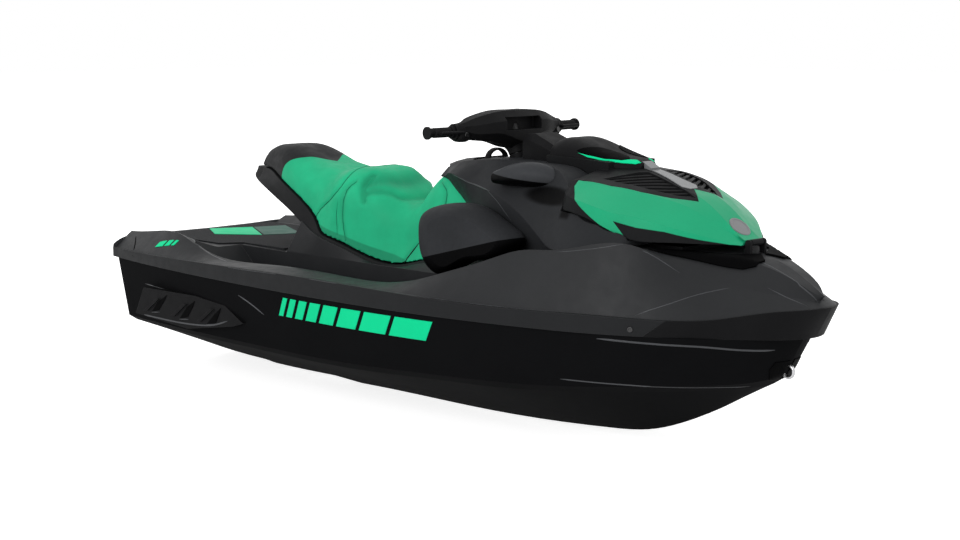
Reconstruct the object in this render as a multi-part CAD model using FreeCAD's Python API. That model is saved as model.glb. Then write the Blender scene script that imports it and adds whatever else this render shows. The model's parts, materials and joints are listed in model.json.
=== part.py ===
import FreeCAD, Part
import math
import os

# Three-seat personal watercraft. +X is the bow, +Y port, +Z up.
# Heights are worked out from the keel and shifted down by the draft at export,
# so that the origin lies on the waterline, on the centreline at mid-length.

# Driving dimensions, in millimetres
length = 3318.0
beam = 1255.0
height = 1147.0
hull_depth = 475.0
draft = 225.0

# Walls, gaps and small common sizes
rail_thickness = 14.0
tub_wall = 6.0
hull_room = 34.0
lid_gap = 6.0
full_turn = 360.0
running_gap = 5.0
pin_gap = 0.05
overrun = 20.0
smallest_piece = overrun * overrun * running_gap

half_length = length / 2
half_beam = beam / 2
upper_height = height - hull_depth

os.makedirs("parts", exist_ok=True)
V = FreeCAD.Vector
ORIGIN = V(0, 0, 0)
ALONG = V(1, 0, 0)
ACROSS = V(0, 1, 0)
UP = V(0, 0, 1)


def hull_point(x_share, y_share, z_share):
    return V(half_length * x_share, half_beam * y_share, hull_depth * z_share)


def deck_point(x_share, y_share, z_share):
    return V(half_length * x_share, half_beam * y_share, hull_depth + upper_height * z_share)


def along(share):
    return half_length * share


def across(share):
    return half_beam * share


def above_bond(share):
    return hull_depth + upper_height * share


def smooth(points):
    curve = Part.BSplineCurve()
    curve.interpolate(points)
    return curve.toShape()


def mirrored(shape):
    return shape.mirror(ORIGIN, ACROSS)


def pair(shape):
    return Part.makeCompound([shape, mirrored(shape)])


def fused(shapes):
    first = shapes[0]
    rest = list(shapes[1:])
    return first.fuse(rest) if rest else first


def kept(shape):
    """The shape without the slivers that a cut can leave beside it."""
    solids = [solid for solid in shape.Solids if solid.Volume > smallest_piece]
    return solids[0] if len(solids) == 1 else Part.makeCompound(solids)


def largest(shape):
    return max(shape.Solids, key=lambda solid: solid.Volume)


def solid_from(faces):
    shell = Part.makeShell(faces)
    shell.sewShape()
    solid = Part.makeSolid(shell)
    if solid.Volume < 0:
        solid.reverse()
    return solid


def start_of(edge):
    return edge.valueAt(edge.FirstParameter)


def face_through(points):
    return Part.Face(Part.makePolygon(points + points[:1]))


def flipped(point):
    return V(point.x, -point.y, point.z)


def ruled_between(lines):
    return [Part.makeRuledSurface(a, b) for a, b in zip(lines, lines[1:])]


def boat_skin(lines, flat):
    """A symmetric solid from lines that start at the stern and end on the stem."""
    half = ruled_between(lines)
    starts = [start_of(line) for line in lines]
    outline = starts + [flipped(p) for p in reversed(starts) if abs(p.y) > 0]
    stern = face_through(outline)
    edge = lines[flat]
    across_stern = Part.makeLine(flipped(start_of(edge)), start_of(edge))
    level = Part.Face(Part.Wire([across_stern, edge, mirrored(edge)]))
    return solid_from(half + [mirrored(f) for f in half] + [stern, level])


def ring_skin(lines):
    """A band with a four-cornered section that runs from one quarter round the bow."""
    half = ruled_between(lines + lines[:1])
    stern = face_through([start_of(line) for line in lines])
    faces = half + [stern]
    return solid_from(faces + [mirrored(f) for f in faces])


def arch_section(x, half_points):
    """A closed section: a level base line and one smooth arch over it."""
    port = [V(x, y, z) for y, z in half_points]
    outline = port + [flipped(p) for p in reversed(port[:-1])]
    arch = smooth(outline)
    base = Part.makeLine(outline[-1], outline[0])
    return Part.Wire([arch, base])


def sharp_section(x, half_points):
    """A closed section with corners: half points run from the base to the top."""
    port = [V(x, y, z) for y, z in half_points]
    outline = port + [flipped(p) for p in reversed(port) if p.y > 0]
    return Part.makePolygon(outline + outline[:1])


def loft(wires, straight=False):
    return Part.makeLoft(wires, True, straight)


def block(x0, x1, y0, y1, z0, z1):
    return Part.makeBox(x1 - x0, y1 - y0, z1 - z0, V(x0, y0, z0))


def side_profile(points, y0, y1):
    """A solid with an outline drawn in the side view, between two breadths."""
    face = face_through([V(x, y0, z) for x, z in points])
    return face.extrude(V(0, y1 - y0, 0))


def rod(start, end, radius):
    axis = end - start
    return Part.makeCylinder(radius, axis.Length, start, axis)


def tube(start, end, outer, inner):
    return rod(start, end, outer).cut(rod(start, end, inner))


# Hull: table of offsets. Each line is a row of (length, breadth, depth) shares.
keel_shares = ((-0.940, 0, 0.06), (-0.784, 0, 0), (-0.241, 0, 0), (0.060, 0, 0.008), (0.307, 0, 0.042),
               (0.452, 0, 0.08), (0.561, 0, 0.131), (0.687, 0, 0.291), (0.766, 0, 0.432),
               (0.819, 0, 0.545))
inner_chine_shares = ((-0.940, 0.685, 0.41), (-0.723, 0.741, 0.41), (-0.362, 0.789, 0.42),
                      (0, 0.789, 0.436), (0.241, 0.725, 0.467), (0.362, 0.685, 0.48),
                      (0.512, 0.582, 0.509), (0.663, 0.438, 0.552), (0.790, 0.255, 0.596),
                      (0.844, 0.127, 0.615), (0.868, 0, 0.632))
chine_shares = ((-0.940, 0.749, 0.463), (-0.723, 0.805, 0.467), (-0.362, 0.853, 0.48),
                (0, 0.853, 0.495), (0.241, 0.797, 0.526), (0.362, 0.757, 0.541),
                (0.512, 0.661, 0.564), (0.663, 0.526, 0.611), (0.790, 0.351, 0.648),
                (0.856, 0.207, 0.669), (0.889, 0.08, 0.695), (0.896, 0, 0.709))
bond_shares = ((-0.940, 0.821, 1), (-0.723, 0.905, 1), (-0.362, 0.977, 1), (0, 0.988, 1),
               (0.241, 0.943, 1), (0.482, 0.829, 1), (0.663, 0.677, 1), (0.784, 0.518, 1),
               (0.856, 0.375, 1), (0.904, 0.239, 1), (0.931, 0.112, 1), (0.942, 0, 1))

# Rub band: its lower and upper outer edges
band_foot_shares = ((-0.964, 0.821, 0), (-0.723, 0.916, 0), (-0.362, 0.988, 0), (-0.060, 1, 0),
                    (0.241, 0.956, 0), (0.482, 0.845, 0), (0.663, 0.695, 0), (0.820, 0.446, 0),
                    (0.905, 0.271, 0), (0.950, 0.143, 0), (0.966, 0, 0))
band_head_shares = ((-0.964, 0.821, 0.060), (-0.723, 0.916, 0.067), (-0.362, 0.988, 0.092),
                    (-0.060, 1, 0.103), (0.241, 0.956, 0.091), (0.482, 0.845, 0.086),
                    (0.663, 0.701, 0.089), (0.844, 0.446, 0.097), (0.934, 0.271, 0.140),
                    (0.980, 0.143, 0.150), (1, 0, 0.154))

# Deck: gunwale crest, inner crease and centreline
crest_shares = ((-0.964, 0.669, 0.149), (-0.814, 0.725, 0.186), (-0.687, 0.781, 0.198),
                (-0.551, 0.818, 0.110), (-0.301, 0.845, 0.104), (-0.060, 0.853, 0.104),
                (0.075, 0.846, 0.104), (0.181, 0.825, 0.149), (0.271, 0.797, 0.216),
                (0.368, 0.765, 0.293), (0.452, 0.720, 0.359), (0.524, 0.673, 0.372),
                (0.663, 0.550, 0.424), (0.753, 0.398, 0.32), (0.844, 0.271, 0.238),
                (0.916, 0.175, 0.208), (0.962, 0.08, 0.187), (0.975, 0, 0.176))
crease_shares = ((-0.964, 0.574, 0.109), (-0.663, 0.574, 0.112), (-0.301, 0.574, 0.096),
                 (0, 0.574, 0.096), (0.181, 0.606, 0.16), (0.362, 0.574, 0.3),
                 (0.524, 0.542, 0.36), (0.663, 0.430, 0.39), (0.753, 0.319, 0.375),
                 (0.844, 0.159, 0.35), (0.916, 0.096, 0.293), (0.962, 0.05, 0.228),
                 (0.979, 0, 0.19))
centre_shares = ((-0.964, 0, 0.112), (-0.663, 0, 0.112), (-0.301, 0, 0.112), (0, 0, 0.112),
                 (0.181, 0, 0.17), (0.362, 0, 0.3), (0.482, 0, 0.36), (0.753, 0, 0.375),
                 (0.844, 0, 0.360), (0.888, 0, 0.333), (0.936, 0, 0.274), (0.975, 0, 0.214),
                 (0.984, 0, 0.2))

# Footwells
footwell_inner = across(0.39)
footwell_outer = across(0.79)
footwell_floor = 350.0
footwell_profile_shares = ((-0.66, 0.16), (-0.50, -0.186), (0.19, -0.186), (0.30, 0.20))

# Engine bay and engine
engine_bay_aft = along(-0.365)
engine_bay_fore = along(0.02)
engine_bay_half_width = across(0.32)
engine_bay_floor = 90.0
engine_bay_top = above_bond(0.3)
engine_length = 560.0
engine_half_width = 165.0
engine_height = 330.0

# Front storage bin
bin_aft = along(0.46)
bin_fore = along(0.73)
bin_half_width = across(0.30)
bin_floor = 330.0
bin_wall = 5.0

# Jet pump
pump_axis_height = 155.0
pump_bore = 78.0
pump_wall = 8.0
pump_fore = along(-0.66)
pump_aft = along(-0.79)
tail_length = 110.0
tail_straight = 66.0
tail_bore = 52.0
tunnel_half_width = 150.0
tunnel_top = 300.0
tunnel_fore = along(-0.62)
intake_fore = along(-0.34)
intake_half_width = 95.0
stator_hub_radius = 30.0
stub_radius = 10.0
impeller_hub_radius = 28.0
blade_count = 4
blade_thickness = 5.0
nozzle_length = 110.0
nozzle_wall = 5.0
nozzle_exit_bore = 42.0
gate_radius = 128.0
gate_thickness = 6.0
gate_half_width = 106.0
gate_low_angle = 34.0
gate_high_angle = 100.0
pin_radius = 7.0
ear_inner = 86.0
ear_thickness = 9.0
ear_radius = 16.0
ear_root = 40.0
flange_thickness = 10.0
flange_low = 95.0
boss_radius = 12.0
boss_height = 12.0
vane_count = 5
blade_stations = 6
blade_twist = 95.0
shaft_radius = 14.0
nose_length = 32.0
stator_tail = 32.0
nozzle_lap = 18.0
mouth_room = 16.0
nozzle_mouth_bore = tail_bore + nozzle_wall + mouth_room
stator_length = 40.0
stator_fore = pump_aft + stator_length
shaft_fore = tunnel_fore + overrun
boss_back = 2.0
nozzle_pivot_x = pump_aft - tail_length + boss_radius + boss_back


def hull_line(shares):
    return smooth([hull_point(*share) for share in shares])


def deck_line(shares):
    return smooth([deck_point(*share) for share in shares])


def inset_line(shares):
    """The same band line, moved in from the outer face by the band's thickness."""
    points = []
    for x_share, y_share, z_share in shares:
        point = deck_point(x_share, y_share, z_share)
        if y_share > 0:
            point.y = max(point.y - rail_thickness, rail_thickness * 2)
        else:
            point.x = point.x - rail_thickness
        points.append(point)
    return smooth(points)


def footwell_cutter(grow):
    points = [(along(x) + (grow if x > 0 else -grow), above_bond(z)) for x, z in footwell_profile_shares]
    floor = footwell_floor - grow
    points[1] = (points[1][0], floor)
    points[2] = (points[2][0], floor)
    return pair(side_profile(points, footwell_inner - grow, footwell_outer + grow))


def engine_bay():
    return block(engine_bay_aft, engine_bay_fore, -engine_bay_half_width, engine_bay_half_width,
                 engine_bay_floor, engine_bay_top)


def bin_outer(grow=0.0):
    return block(bin_aft - grow, bin_fore + grow, -bin_half_width - grow, bin_half_width + grow,
                 bin_floor - grow, above_bond(1))


def pump_tunnel():
    aft = half_length * -1
    tunnel = block(aft, tunnel_fore, -tunnel_half_width, tunnel_half_width, -overrun, tunnel_top)
    throat = [(tunnel_fore - overrun, -overrun), (tunnel_fore - overrun, tunnel_top),
              (tunnel_fore + overrun, tunnel_top), (intake_fore, -overrun)]
    return tunnel.fuse(side_profile(throat, -intake_half_width, intake_half_width))


def hull_shell():
    lines = [hull_line(s) for s in (keel_shares, inner_chine_shares, chine_shares, bond_shares)]
    hull = boat_skin(lines, -1)
    return hull.cut([footwell_cutter(hull_room), engine_bay(), bin_outer(hull_room), pump_tunnel()])


def deck_raw():
    lines = [inset_line(band_foot_shares), inset_line(band_head_shares), deck_line(crest_shares),
             deck_line(crease_shares), deck_line(centre_shares)]
    return boat_skin(lines, 0)


def deck():
    low = block(-half_length, half_length, -half_beam, half_beam, 0, hull_depth)
    tubs = footwell_cutter(tub_wall).common(low)
    moulding = deck_raw().fuse(tubs.Solids)
    return moulding.cut([footwell_cutter(0), engine_bay(), bin_outer()])


def rub_rail():
    lines = [inset_line(band_foot_shares), deck_line(band_foot_shares), deck_line(band_head_shares),
             inset_line(band_head_shares)]
    return ring_skin(lines)


# Speaker pods at the front of the footwells
pod_sections = ((0.44, 0.85, -0.028), (0.62, 1.0, 0.0), (0.70, 0.93, 0.012), (0.765, 0.70, 0.035))
pod_shares = ((0.120, 0.408), (0.133, 0.479), (0.169, 0.518), (0.221, 0.539), (0.257, 0.540),
              (0.373, 0.435), (0.404, 0.371), (0.394, 0.338), (0.272, 0.247), (0.169, 0.164),
              (0.144, 0.201))

# Console fairing: stations of (length, foot, crest, shoulder, top)
fairing_shares = (
    (0.000, (0.08, 0.50), (0.170, 0.625), (0.11, 0.668), 0.675),
    (0.045, (0.10, 0.46), (0.235, 0.645), (0.15, 0.703), 0.712),
    (0.096, (0.14, 0.38), (0.310, 0.655), (0.18, 0.722), 0.728),
    (0.140, (0.22, 0.26), (0.335, 0.635), (0.20, 0.735), 0.738),
    (0.181, (0.33, 0.11), (0.355, 0.615), (0.22, 0.743), 0.743),
    (0.241, (0.40, 0.12), (0.41, 0.600), (0.25, 0.748), 0.748),
    (0.362, (0.46, 0.18), (0.48, 0.493), (0.32, 0.745), 0.745),
    (0.458, (0.56, 0.33), (0.58, 0.387), (0.40, 0.685), 0.720),
    (0.524, (0.64, 0.355), (0.65, 0.368), (0.52, 0.551), 0.588),
    (0.603, (0.59, 0.38), (0.605, 0.402), (0.523, 0.501), 0.513),
    (0.654, (0.54, 0.40), (0.55, 0.412), (0.478, 0.421), 0.424))

# Hood lid: stations of (length, edge, shoulder, top)
hood_shares = (
    (0.482, (0.494, 0.550), (0.478, 0.632), (0.414, 0.690), 0.757),
    (0.512, (0.534, 0.548), (0.526, 0.617), (0.414, 0.694), 0.750),
    (0.573, (0.550, 0.520), (0.550, 0.592), (0.374, 0.675), 0.726),
    (0.621, (0.518, 0.469), (0.520, 0.563), (0.319, 0.653), 0.690),
    (0.663, (0.470, 0.431), (0.454, 0.540), (0.255, 0.623), 0.655),
    (0.711, (0.390, 0.426), (0.374, 0.503), (0.191, 0.582), 0.612),
    (0.753, (0.303, 0.423), (0.279, 0.467), (0.143, 0.520), 0.546),
    (0.790, (0.183, 0.417), (0.159, 0.431), (0.080, 0.456), 0.470),
    (0.814, (0.100, 0.409), (0.080, 0.417), (0.048, 0.425), 0.431))
hood_neck_shares = ((0.330, 0.186, 0.705, 0.784), (0.400, 0.203, 0.700, 0.782),
                    (0.505, 0.198, 0.690, 0.770))
hood_ridge_share = 0.07
hood_panel_shares = ((0.497, 0.760), (0.500, 0.665), (0.543, 0.585), (0.591, 0.506), (0.633, 0.442),
                     (0.648, 0.436), (0.622, 0.522), (0.663, 0.493), (0.710, 0.476), (0.755, 0.444),
                     (0.808, 0.409), (0.830, 0.400), (0.830, 0.700), (0.600, 0.800))
hood_centre_shares = ((0.400, 0.430), (0.512, 0.418), (0.573, 0.378), (0.627, 0.311), (0.675, 0.207),
                      (0.711, 0.105), (0.668, 0.0))
grille_shares = ((0.535, 0.330), (0.573, 0.310), (0.627, 0.245), (0.672, 0.165), (0.700, 0.095),
                 (0.668, 0.075), (0.573, 0.075), (0.560, 0.120))
grille_depth = 14.0
grille_sink = 4.0
slat_pitch = 26.0
slat_thickness = 9.0
slat_lean = 30.0
strip_shares = ((0.566, 0.035), (0.620, 0.045), (0.655, 0.062), (0.668, 0.030))
strip_height = 3.0
hood_wall = 22.0
hood_hinge_x = along(0.822)
hood_hinge_z = above_bond(0.42)

# Visor over the gauge: stations of (length, half width, foot, top)
visor_shares = ((0.336, 0.176, 0.765, 0.858), (0.356, 0.188, 0.765, 0.874), (0.398, 0.192, 0.762, 0.866),
                (0.452, 0.184, 0.750, 0.824), (0.506, 0.151, 0.735, 0.792), (0.550, 0.076, 0.720, 0.765))
visor_belly_share = 0.92
visor_rise_share = 0.6
visor_brow_share = 0.66
visor_brow_drop_share = 0.10
pocket_width_share = 0.84
pocket_drop_share = 0.024
pocket_foot_share = 0.788
pocket_aft = along(0.325)
display_aft = along(0.368)
pocket_fore = along(0.384)
tip_shares = ((0.520, 0.720), (0.524, 0.772), (0.546, 0.772), (0.568, 0.742), (0.566, 0.715))
tip_half = 24.0

# Mirrors
mirror_shares = (
    (0.272, 0.330, 0.470, 0.640, 0.706),
    (0.310, 0.325, 0.480, 0.638, 0.738),
    (0.352, 0.312, 0.470, 0.640, 0.754),
    (0.388, 0.300, 0.430, 0.645, 0.745),
    (0.420, 0.290, 0.370, 0.655, 0.705))
mirror_round_share = 0.24
mirror_glass_thickness = 4.0
mirror_glass_margin_share = 0.14

# Seat: stations of (length, half base, base, half shoulder, shoulder, top)
seat_shares = (
    (-0.702, 0.118, 0.548, 0.098, 0.576, 0.598, 0.034),
    (-0.687, 0.160, 0.538, 0.122, 0.590, 0.637, 0.040),
    (-0.653, 0.215, 0.515, 0.150, 0.615, 0.695, 0.060),
    (-0.601, 0.270, 0.485, 0.190, 0.630, 0.720, 0.080),
    (-0.549, 0.300, 0.440, 0.235, 0.620, 0.720, 0.088),
    (-0.445, 0.34, 0.335, 0.280, 0.545, 0.635, 0.085),
    (-0.377, 0.37, 0.255, 0.290, 0.490, 0.604, 0.055),
    (-0.341, 0.385, 0.226, 0.300, 0.485, 0.592, 0.014),
    (-0.315, 0.385, 0.208, 0.310, 0.505, 0.612, 0.014),
    (-0.265, 0.38, 0.180, 0.305, 0.505, 0.628, 0.014),
    (-0.190, 0.37, 0.130, 0.290, 0.470, 0.600, 0.014),
    (-0.105, 0.35, 0.096, 0.240, 0.360, 0.500, 0.014),
    (-0.045, 0.34, 0.120, 0.230, 0.420, 0.600, 0.014),
    (0.006, 0.335, 0.148, 0.215, 0.510, 0.660, 0.014),
    (0.060, 0.330, 0.158, 0.215, 0.500, 0.640, 0.014),
    (0.115, 0.325, 0.165, 0.215, 0.450, 0.580, 0.014),
    (0.165, 0.320, 0.172, 0.210, 0.380, 0.470, 0.014))
seat_split = along(-0.36)
seat_belly_share = 1.08
seat_top_width_share = 0.62
seat_top_drop_share = 0.1
pedestal_aft = along(-0.455)
pedestal_top_aft = along(-0.415)
pedestal_head_share = 0.30
platform_share = 0.112
seat_sink_share = 0.012
tail_notch_shares = ((-0.76, 0.574), (-0.673, 0.574), (-0.664, 0.625), (-0.650, 0.677), (-0.622, 0.711),
                     (-0.600, 0.950), (-0.76, 0.950))

# Steering
column_tilt = 20.0
column_foot = V(along(0.18), 0, above_bond(0.76))
bar_height = above_bond(0.893)
column_radius = 26.0
column_length = (bar_height - column_foot.z) / math.cos(math.radians(column_tilt)) + overrun
bar_half_span = 391.0
bar_radius = 11.0
grip_radius = 17.0
grip_length = 118.0
grip_flange_radius = 23.0
grip_flange = 8.0
bar_x = along(0.135)
bar_middle_x = along(0.160)
bushing_length = 34.0
bushing_wall = 8.0
lever_reach = 42.0
lever_root = 12.0
lever_radius = 6.0
collar_length = 26.0
cover_shares = ((0.41, 0.128, 0.160, 0.866, 0.935), (0.34, 0.125, 0.172, 0.855, 0.955),
                (0.24, 0.120, 0.190, 0.838, 0.982), (0.16, 0.118, 0.198, 0.826, 0.995),
                (0.075, 0.122, 0.200, 0.800, 1.0), (0, 0.130, 0.200, 0.790, 1.0))
cover_chamfer_share = 0.25
cover_pocket_half = across(0.145)
cover_pocket_aft = along(0.172)
cover_pocket_low = above_bond(0.895)
cover_pocket_high = above_bond(0.965)

lever_tip_share = 0.25
switch_radius = 29.0
column_cover_foot_share = 0.735
column_cover_shares = ((0.233, 0.112, 0.835, 0.878), (0.262, 0.124, 0.845, 0.884), (0.298, 0.130, 0.820, 0.850),
                       (0.333, 0.130, 0.785, 0.812))
column_cover_crown_share = 0.72
latch_shares = ((0.066, 0.690), (0.095, 0.757), (0.118, 0.768), (0.131, 0.746), (0.129, 0.708))
latch_half = 12.0
latch_hole = V(along(0.109), 0, above_bond(0.742))
latch_hole_radius = 9.0

# Glovebox
glove_shares = ((0.006, 0.688), (0.030, 0.708), (0.062, 0.727), (0.092, 0.736))
glove_aft = along(glove_shares[0][0])
glove_fore = along(glove_shares[-1][0])
glove_half_width = 70.0
glove_depth = 70.0
glove_wall = 6.0
glove_rim_drop = 12.0
glove_rim = above_bond(glove_shares[-2][1]) - glove_rim_drop
glove_lid_thickness = 12.0
glove_pin_radius = 3.5
glove_pin_reach = 8.0
glove_pin_half = glove_half_width + running_gap + glove_pin_reach
glove_pin_x = glove_fore - glove_lid_thickness / 2
glove_pin_z = above_bond(glove_shares[-1][1]) - glove_lid_thickness / 2

# Hood hinge at the bow
hood_pin_radius = 5.0
hinge_lug_inner = 34.0
hinge_lug_thickness = 10.0
hinge_knuckle_radius = 11.0
hinge_tongue = 40.0

# Trim and fittings
eye_bar_radius = 6.0
eye_radius = 20.0
bow_eye_x = along(0.905)
bow_eye_share = 0.74
bow_eye_z = hull_depth * bow_eye_share
stern_eye_x = along(-0.944)
stern_eye_share = 0.86
stern_eye_z = hull_depth * stern_eye_share
sponson_shares = ((-0.813, 0.56), (-0.775, 0.80), (-0.560, 0.81), (-0.440, 0.775), (-0.372, 0.657),
                  (-0.415, 0.613), (-0.592, 0.518))
rib_shares = ((-0.772, -0.717), (-0.657, -0.603), (-0.549, -0.494))
rib_level_shares = (0.60, 0.73)
rib_low = hull_depth * rib_level_shares[0]
rib_high = hull_depth * rib_level_shares[1]
rib_width = 22.0
rib_height = 7.0
sponson_inner = across(0.70)
sponson_outer = across(0.918)
plate_aft = along(-0.93)
plate_half_width = tunnel_half_width
plate_low = 24.0
plate_slope_share = 0.42
plate_thickness = 10.0
grate_bars = 4
grate_bar = 9.0
grate_low = 6.0
bin_top = above_bond(0.40)
mat_margin = 18.0
mat_thickness = 6.0
platform_mat_shares = ((-0.945, 0.50), (-0.675, 0.50), (-0.640, 0.36), (-0.480, 0.36))
bumper_shares = ((0.815, -0.967, 0.078), (0.74, -0.978, 0.112), (0.60, -0.990, 0.125), (0.30, -0.998, 0.115),
                 (0, -1.0, 0.112))
bumper_fore = along(-0.964)
bumper_belly_share = 0.5
split_low = along(0.727)
split_high = along(0.778)
split_head = above_bond(0.1)
handle_x = along(-0.652)
groove_x = along(-0.680)
groove_half = across(0.14)
groove_z = above_bond(0.537)
groove_radius = 16.0


def station_points(pairs):
    return [(across(y), above_bond(z)) for y, z in pairs]


def closed_smooth(points):
    """A closed smooth outline through the points."""
    curve = Part.BSplineCurve()
    curve.interpolate(Points=points, PeriodicFlag=True)
    return Part.Wire(curve.toShape())


def plan_prism(shares, low=0.0):
    """A column on both sides of the centreline, with its half outline drawn in plan."""
    port = [V(along(x), across(y), low) for x, y in shares]
    outline = port + [flipped(p) for p in reversed(port) if p.y > 0]
    return face_through(outline).extrude(V(0, 0, height * 2))


def seat_blank():
    wires = []
    for x, half_base, base, half_shoulder, shoulder, top, pan in seat_shares:
        rows = ((half_base, base - seat_sink_share),
                (half_shoulder * seat_belly_share, (base + shoulder) / 2),
                (half_shoulder, shoulder),
                (half_shoulder * seat_top_width_share, top + (shoulder - top) * seat_top_drop_share),
                (0, top))
        wires.append(arch_section(along(x), station_points(rows)))
    return loft(wires)


def pan_slab():
    wires = []
    for x, half_base, base, half_shoulder, shoulder, top, pan in seat_shares:
        rows = ((1, 0), (1, base + pan), (0, base + pan))
        wires.append(sharp_section(along(x), station_points(rows)))
    return loft(wires)


def tail_notch():
    """The step between the moulded lip at the seat's tail and the cushion's end."""
    return side_profile(deck_pairs(tail_notch_shares), -half_beam, half_beam)


def seat_pedestal():
    """The part of the deck that carries the seat, up to the seat's base line."""
    wires = []
    inner = footwell_inner / half_beam
    for x, half_base, base, half_shoulder, shoulder, top, pan in seat_shares:
        rows = ((inner, 0), (inner, platform_share), (half_base, base), (0, base))
        wires.append(sharp_section(along(x), station_points(rows)))
    foot = above_bond(platform_share)
    head = above_bond(pedestal_head_share)
    behind = [(-half_length, 0), (pedestal_aft, 0), (pedestal_aft, foot), (pedestal_top_aft, head),
              (pedestal_top_aft, height), (-half_length, height)]
    return loft(wires).cut(side_profile(behind, -half_beam, half_beam))


def hood_neck(grow=0.0):
    """The narrow rear part of the hood, which carries the visor."""
    wires = []
    wide = grow / half_beam
    tall = grow / upper_height
    for index, (x, half, foot, top) in enumerate(hood_neck_shares):
        rows = ((half + wide, foot - tall), (half + wide, top + tall), (0, top + tall))
        shift = -grow if index == 0 else 0
        wires.append(sharp_section(along(x) + shift, station_points(rows)))
    return loft(wires)


def hood_blank(grow=0.0):
    """The hood's outer form, or with a gap all round it the room that it needs."""
    wires = []
    wide = grow / half_beam
    tall = grow / upper_height
    for index, (x, edge, bulge, shoulder, top) in enumerate(hood_shares):
        rows = ((edge[0] + wide, edge[1] - tall), (bulge[0] + wide, bulge[1]),
                (shoulder[0] + wide, shoulder[1] + tall), (hood_ridge_share, top + tall),
                (0, top + tall))
        shift = -grow if index == 0 else grow if index == len(hood_shares) - 1 else 0
        wires.append(sharp_section(along(x) + shift, station_points(rows)))
    return loft(wires).fuse(hood_neck(grow))


def hood_void():
    wires = []
    sink = hood_wall / upper_height
    narrow = hood_wall / half_beam
    for x, edge, bulge, shoulder, top in hood_shares[1:-1]:
        rows = ((edge[0] - narrow, edge[1] - sink * 2), (bulge[0] - narrow, bulge[1] - sink / 2),
                (shoulder[0] - narrow, shoulder[1] - sink), (0, top - sink))
        wires.append(sharp_section(along(x), station_points(rows)))
    return loft(wires)


def hood_green():
    """The coloured region of the hood: the sides and the nose, without the centre insert."""
    sides = side_profile(deck_pairs(hood_panel_shares), -half_beam, half_beam)
    return sides.cut(plan_prism(hood_centre_shares))


def lowered(shape, drop):
    copy = shape.copy()
    copy.translate(V(0, 0, -drop))
    return copy


def grille_openings():
    half = [V(along(x), across(y), 0) for x, y in grille_shares]
    return pair(face_through(half).extrude(V(0, 0, height * 2)))


def hood_grille(blank):
    """Slanted slats that follow the hood's surface inside the two grille openings."""
    skin = lowered(blank, grille_sink).cut(lowered(blank, grille_depth))
    skin = fused(grille_openings().Solids).common(skin)
    start = along(grille_shares[0][0])
    count = math.ceil((along(grille_shares[4][0]) - start) / slat_pitch)
    slats = []
    for place in range(count):
        slat = Part.makeBox(slat_thickness, half_beam, height, V(0, 0, 0))
        slat.rotate(ORIGIN, UP, slat_lean)
        slat.translate(V(start + slat_pitch * (place + 1), 0, 0))
        slats.append(slat)
    comb = fused(slats + [mirrored(slat) for slat in slats])
    return skin.common(comb)


def ridge_strip(blank):
    return lowered(blank, -strip_height).common(plan_prism(strip_shares)).cut(blank)


def fairing_blank():
    wires = []
    for x, foot, crest, shoulder, top in fairing_shares:
        rows = (foot, crest, shoulder, (0, top))
        wires.append(sharp_section(along(x), station_points(rows)))
    return loft(wires)


def visor_sections(width_share=1.0, drop_share=0.0, foot_share=None):
    wires = []
    for x, half_width, foot, top in visor_shares:
        low = foot_share or foot
        high = top - drop_share
        half = half_width * width_share
        rows = ((half, low), (half * visor_belly_share, low + (high - low) * visor_rise_share),
                (half * visor_brow_share, high - (high - low) * visor_brow_drop_share), (0, high))
        wires.append(arch_section(along(x), station_points(rows)))
    return wires


def visor_blank():
    return loft(visor_sections())


def visor_pocket():
    """The room under the visor's rear edge, in which the gauge display sits."""
    room = loft(visor_sections(pocket_width_share, pocket_drop_share, pocket_foot_share)[:3])
    return room.common(block(pocket_aft, pocket_fore, -half_beam, half_beam, 0, height))


def gauge_display():
    return visor_pocket().common(block(display_aft, pocket_fore, -half_beam, half_beam, 0, height))


def visor_tip():
    return side_profile(deck_pairs(tip_shares), -tip_half, tip_half)


def speaker_pod():
    """A rounded lobe, lofted outwards from the console's side and tapered at its outer end."""
    centre_x = sum(x for x, z in pod_shares) / len(pod_shares)
    centre_z = sum(z for x, z in pod_shares) / len(pod_shares)
    wires = []
    for y, size, shift in pod_sections:
        points = [V(along(centre_x + shift + (x - centre_x) * size), across(y),
                    above_bond(centre_z + (z - centre_z) * size)) for x, z in pod_shares]
        wires.append(closed_smooth(points))
    return loft(wires)


def mirror_section(x, inner, outer, low, high, round_share):
    """A rounded rectangle across the craft at one length."""
    width = outer - inner
    depth = high - low
    corners = []
    for y, z, step_y, step_z in ((inner, low, 1, 1), (outer, low, -1, 1), (outer, high, -1, -1),
                                 (inner, high, 1, -1)):
        corners.append((y, z + step_z * depth * round_share))
        corners.append((y + step_y * width * round_share, z))
    order = (0, 1, 3, 2, 4, 5, 7, 6)
    return closed_smooth([V(x, across(corners[i][0]), above_bond(corners[i][1])) for i in order])


def mirror_housing():
    wires = [mirror_section(along(row[0]), *row[1:], mirror_round_share) for row in mirror_shares]
    return loft(wires)


def mirror_glass():
    """The glass: a plate on the housing's rear face, a margin smaller than the face."""
    x, inner, outer, low, high = mirror_shares[0]
    side = (outer - inner) * mirror_glass_margin_share
    rise = (high - low) * mirror_glass_margin_share
    wire = mirror_section(along(x) - mirror_glass_thickness, inner + side, outer - side, low + rise,
                          high - rise, mirror_round_share)
    return Part.Face(wire).extrude(V(mirror_glass_thickness, 0, 0))


def axis_point(x):
    return V(x, 0, pump_axis_height)


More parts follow.
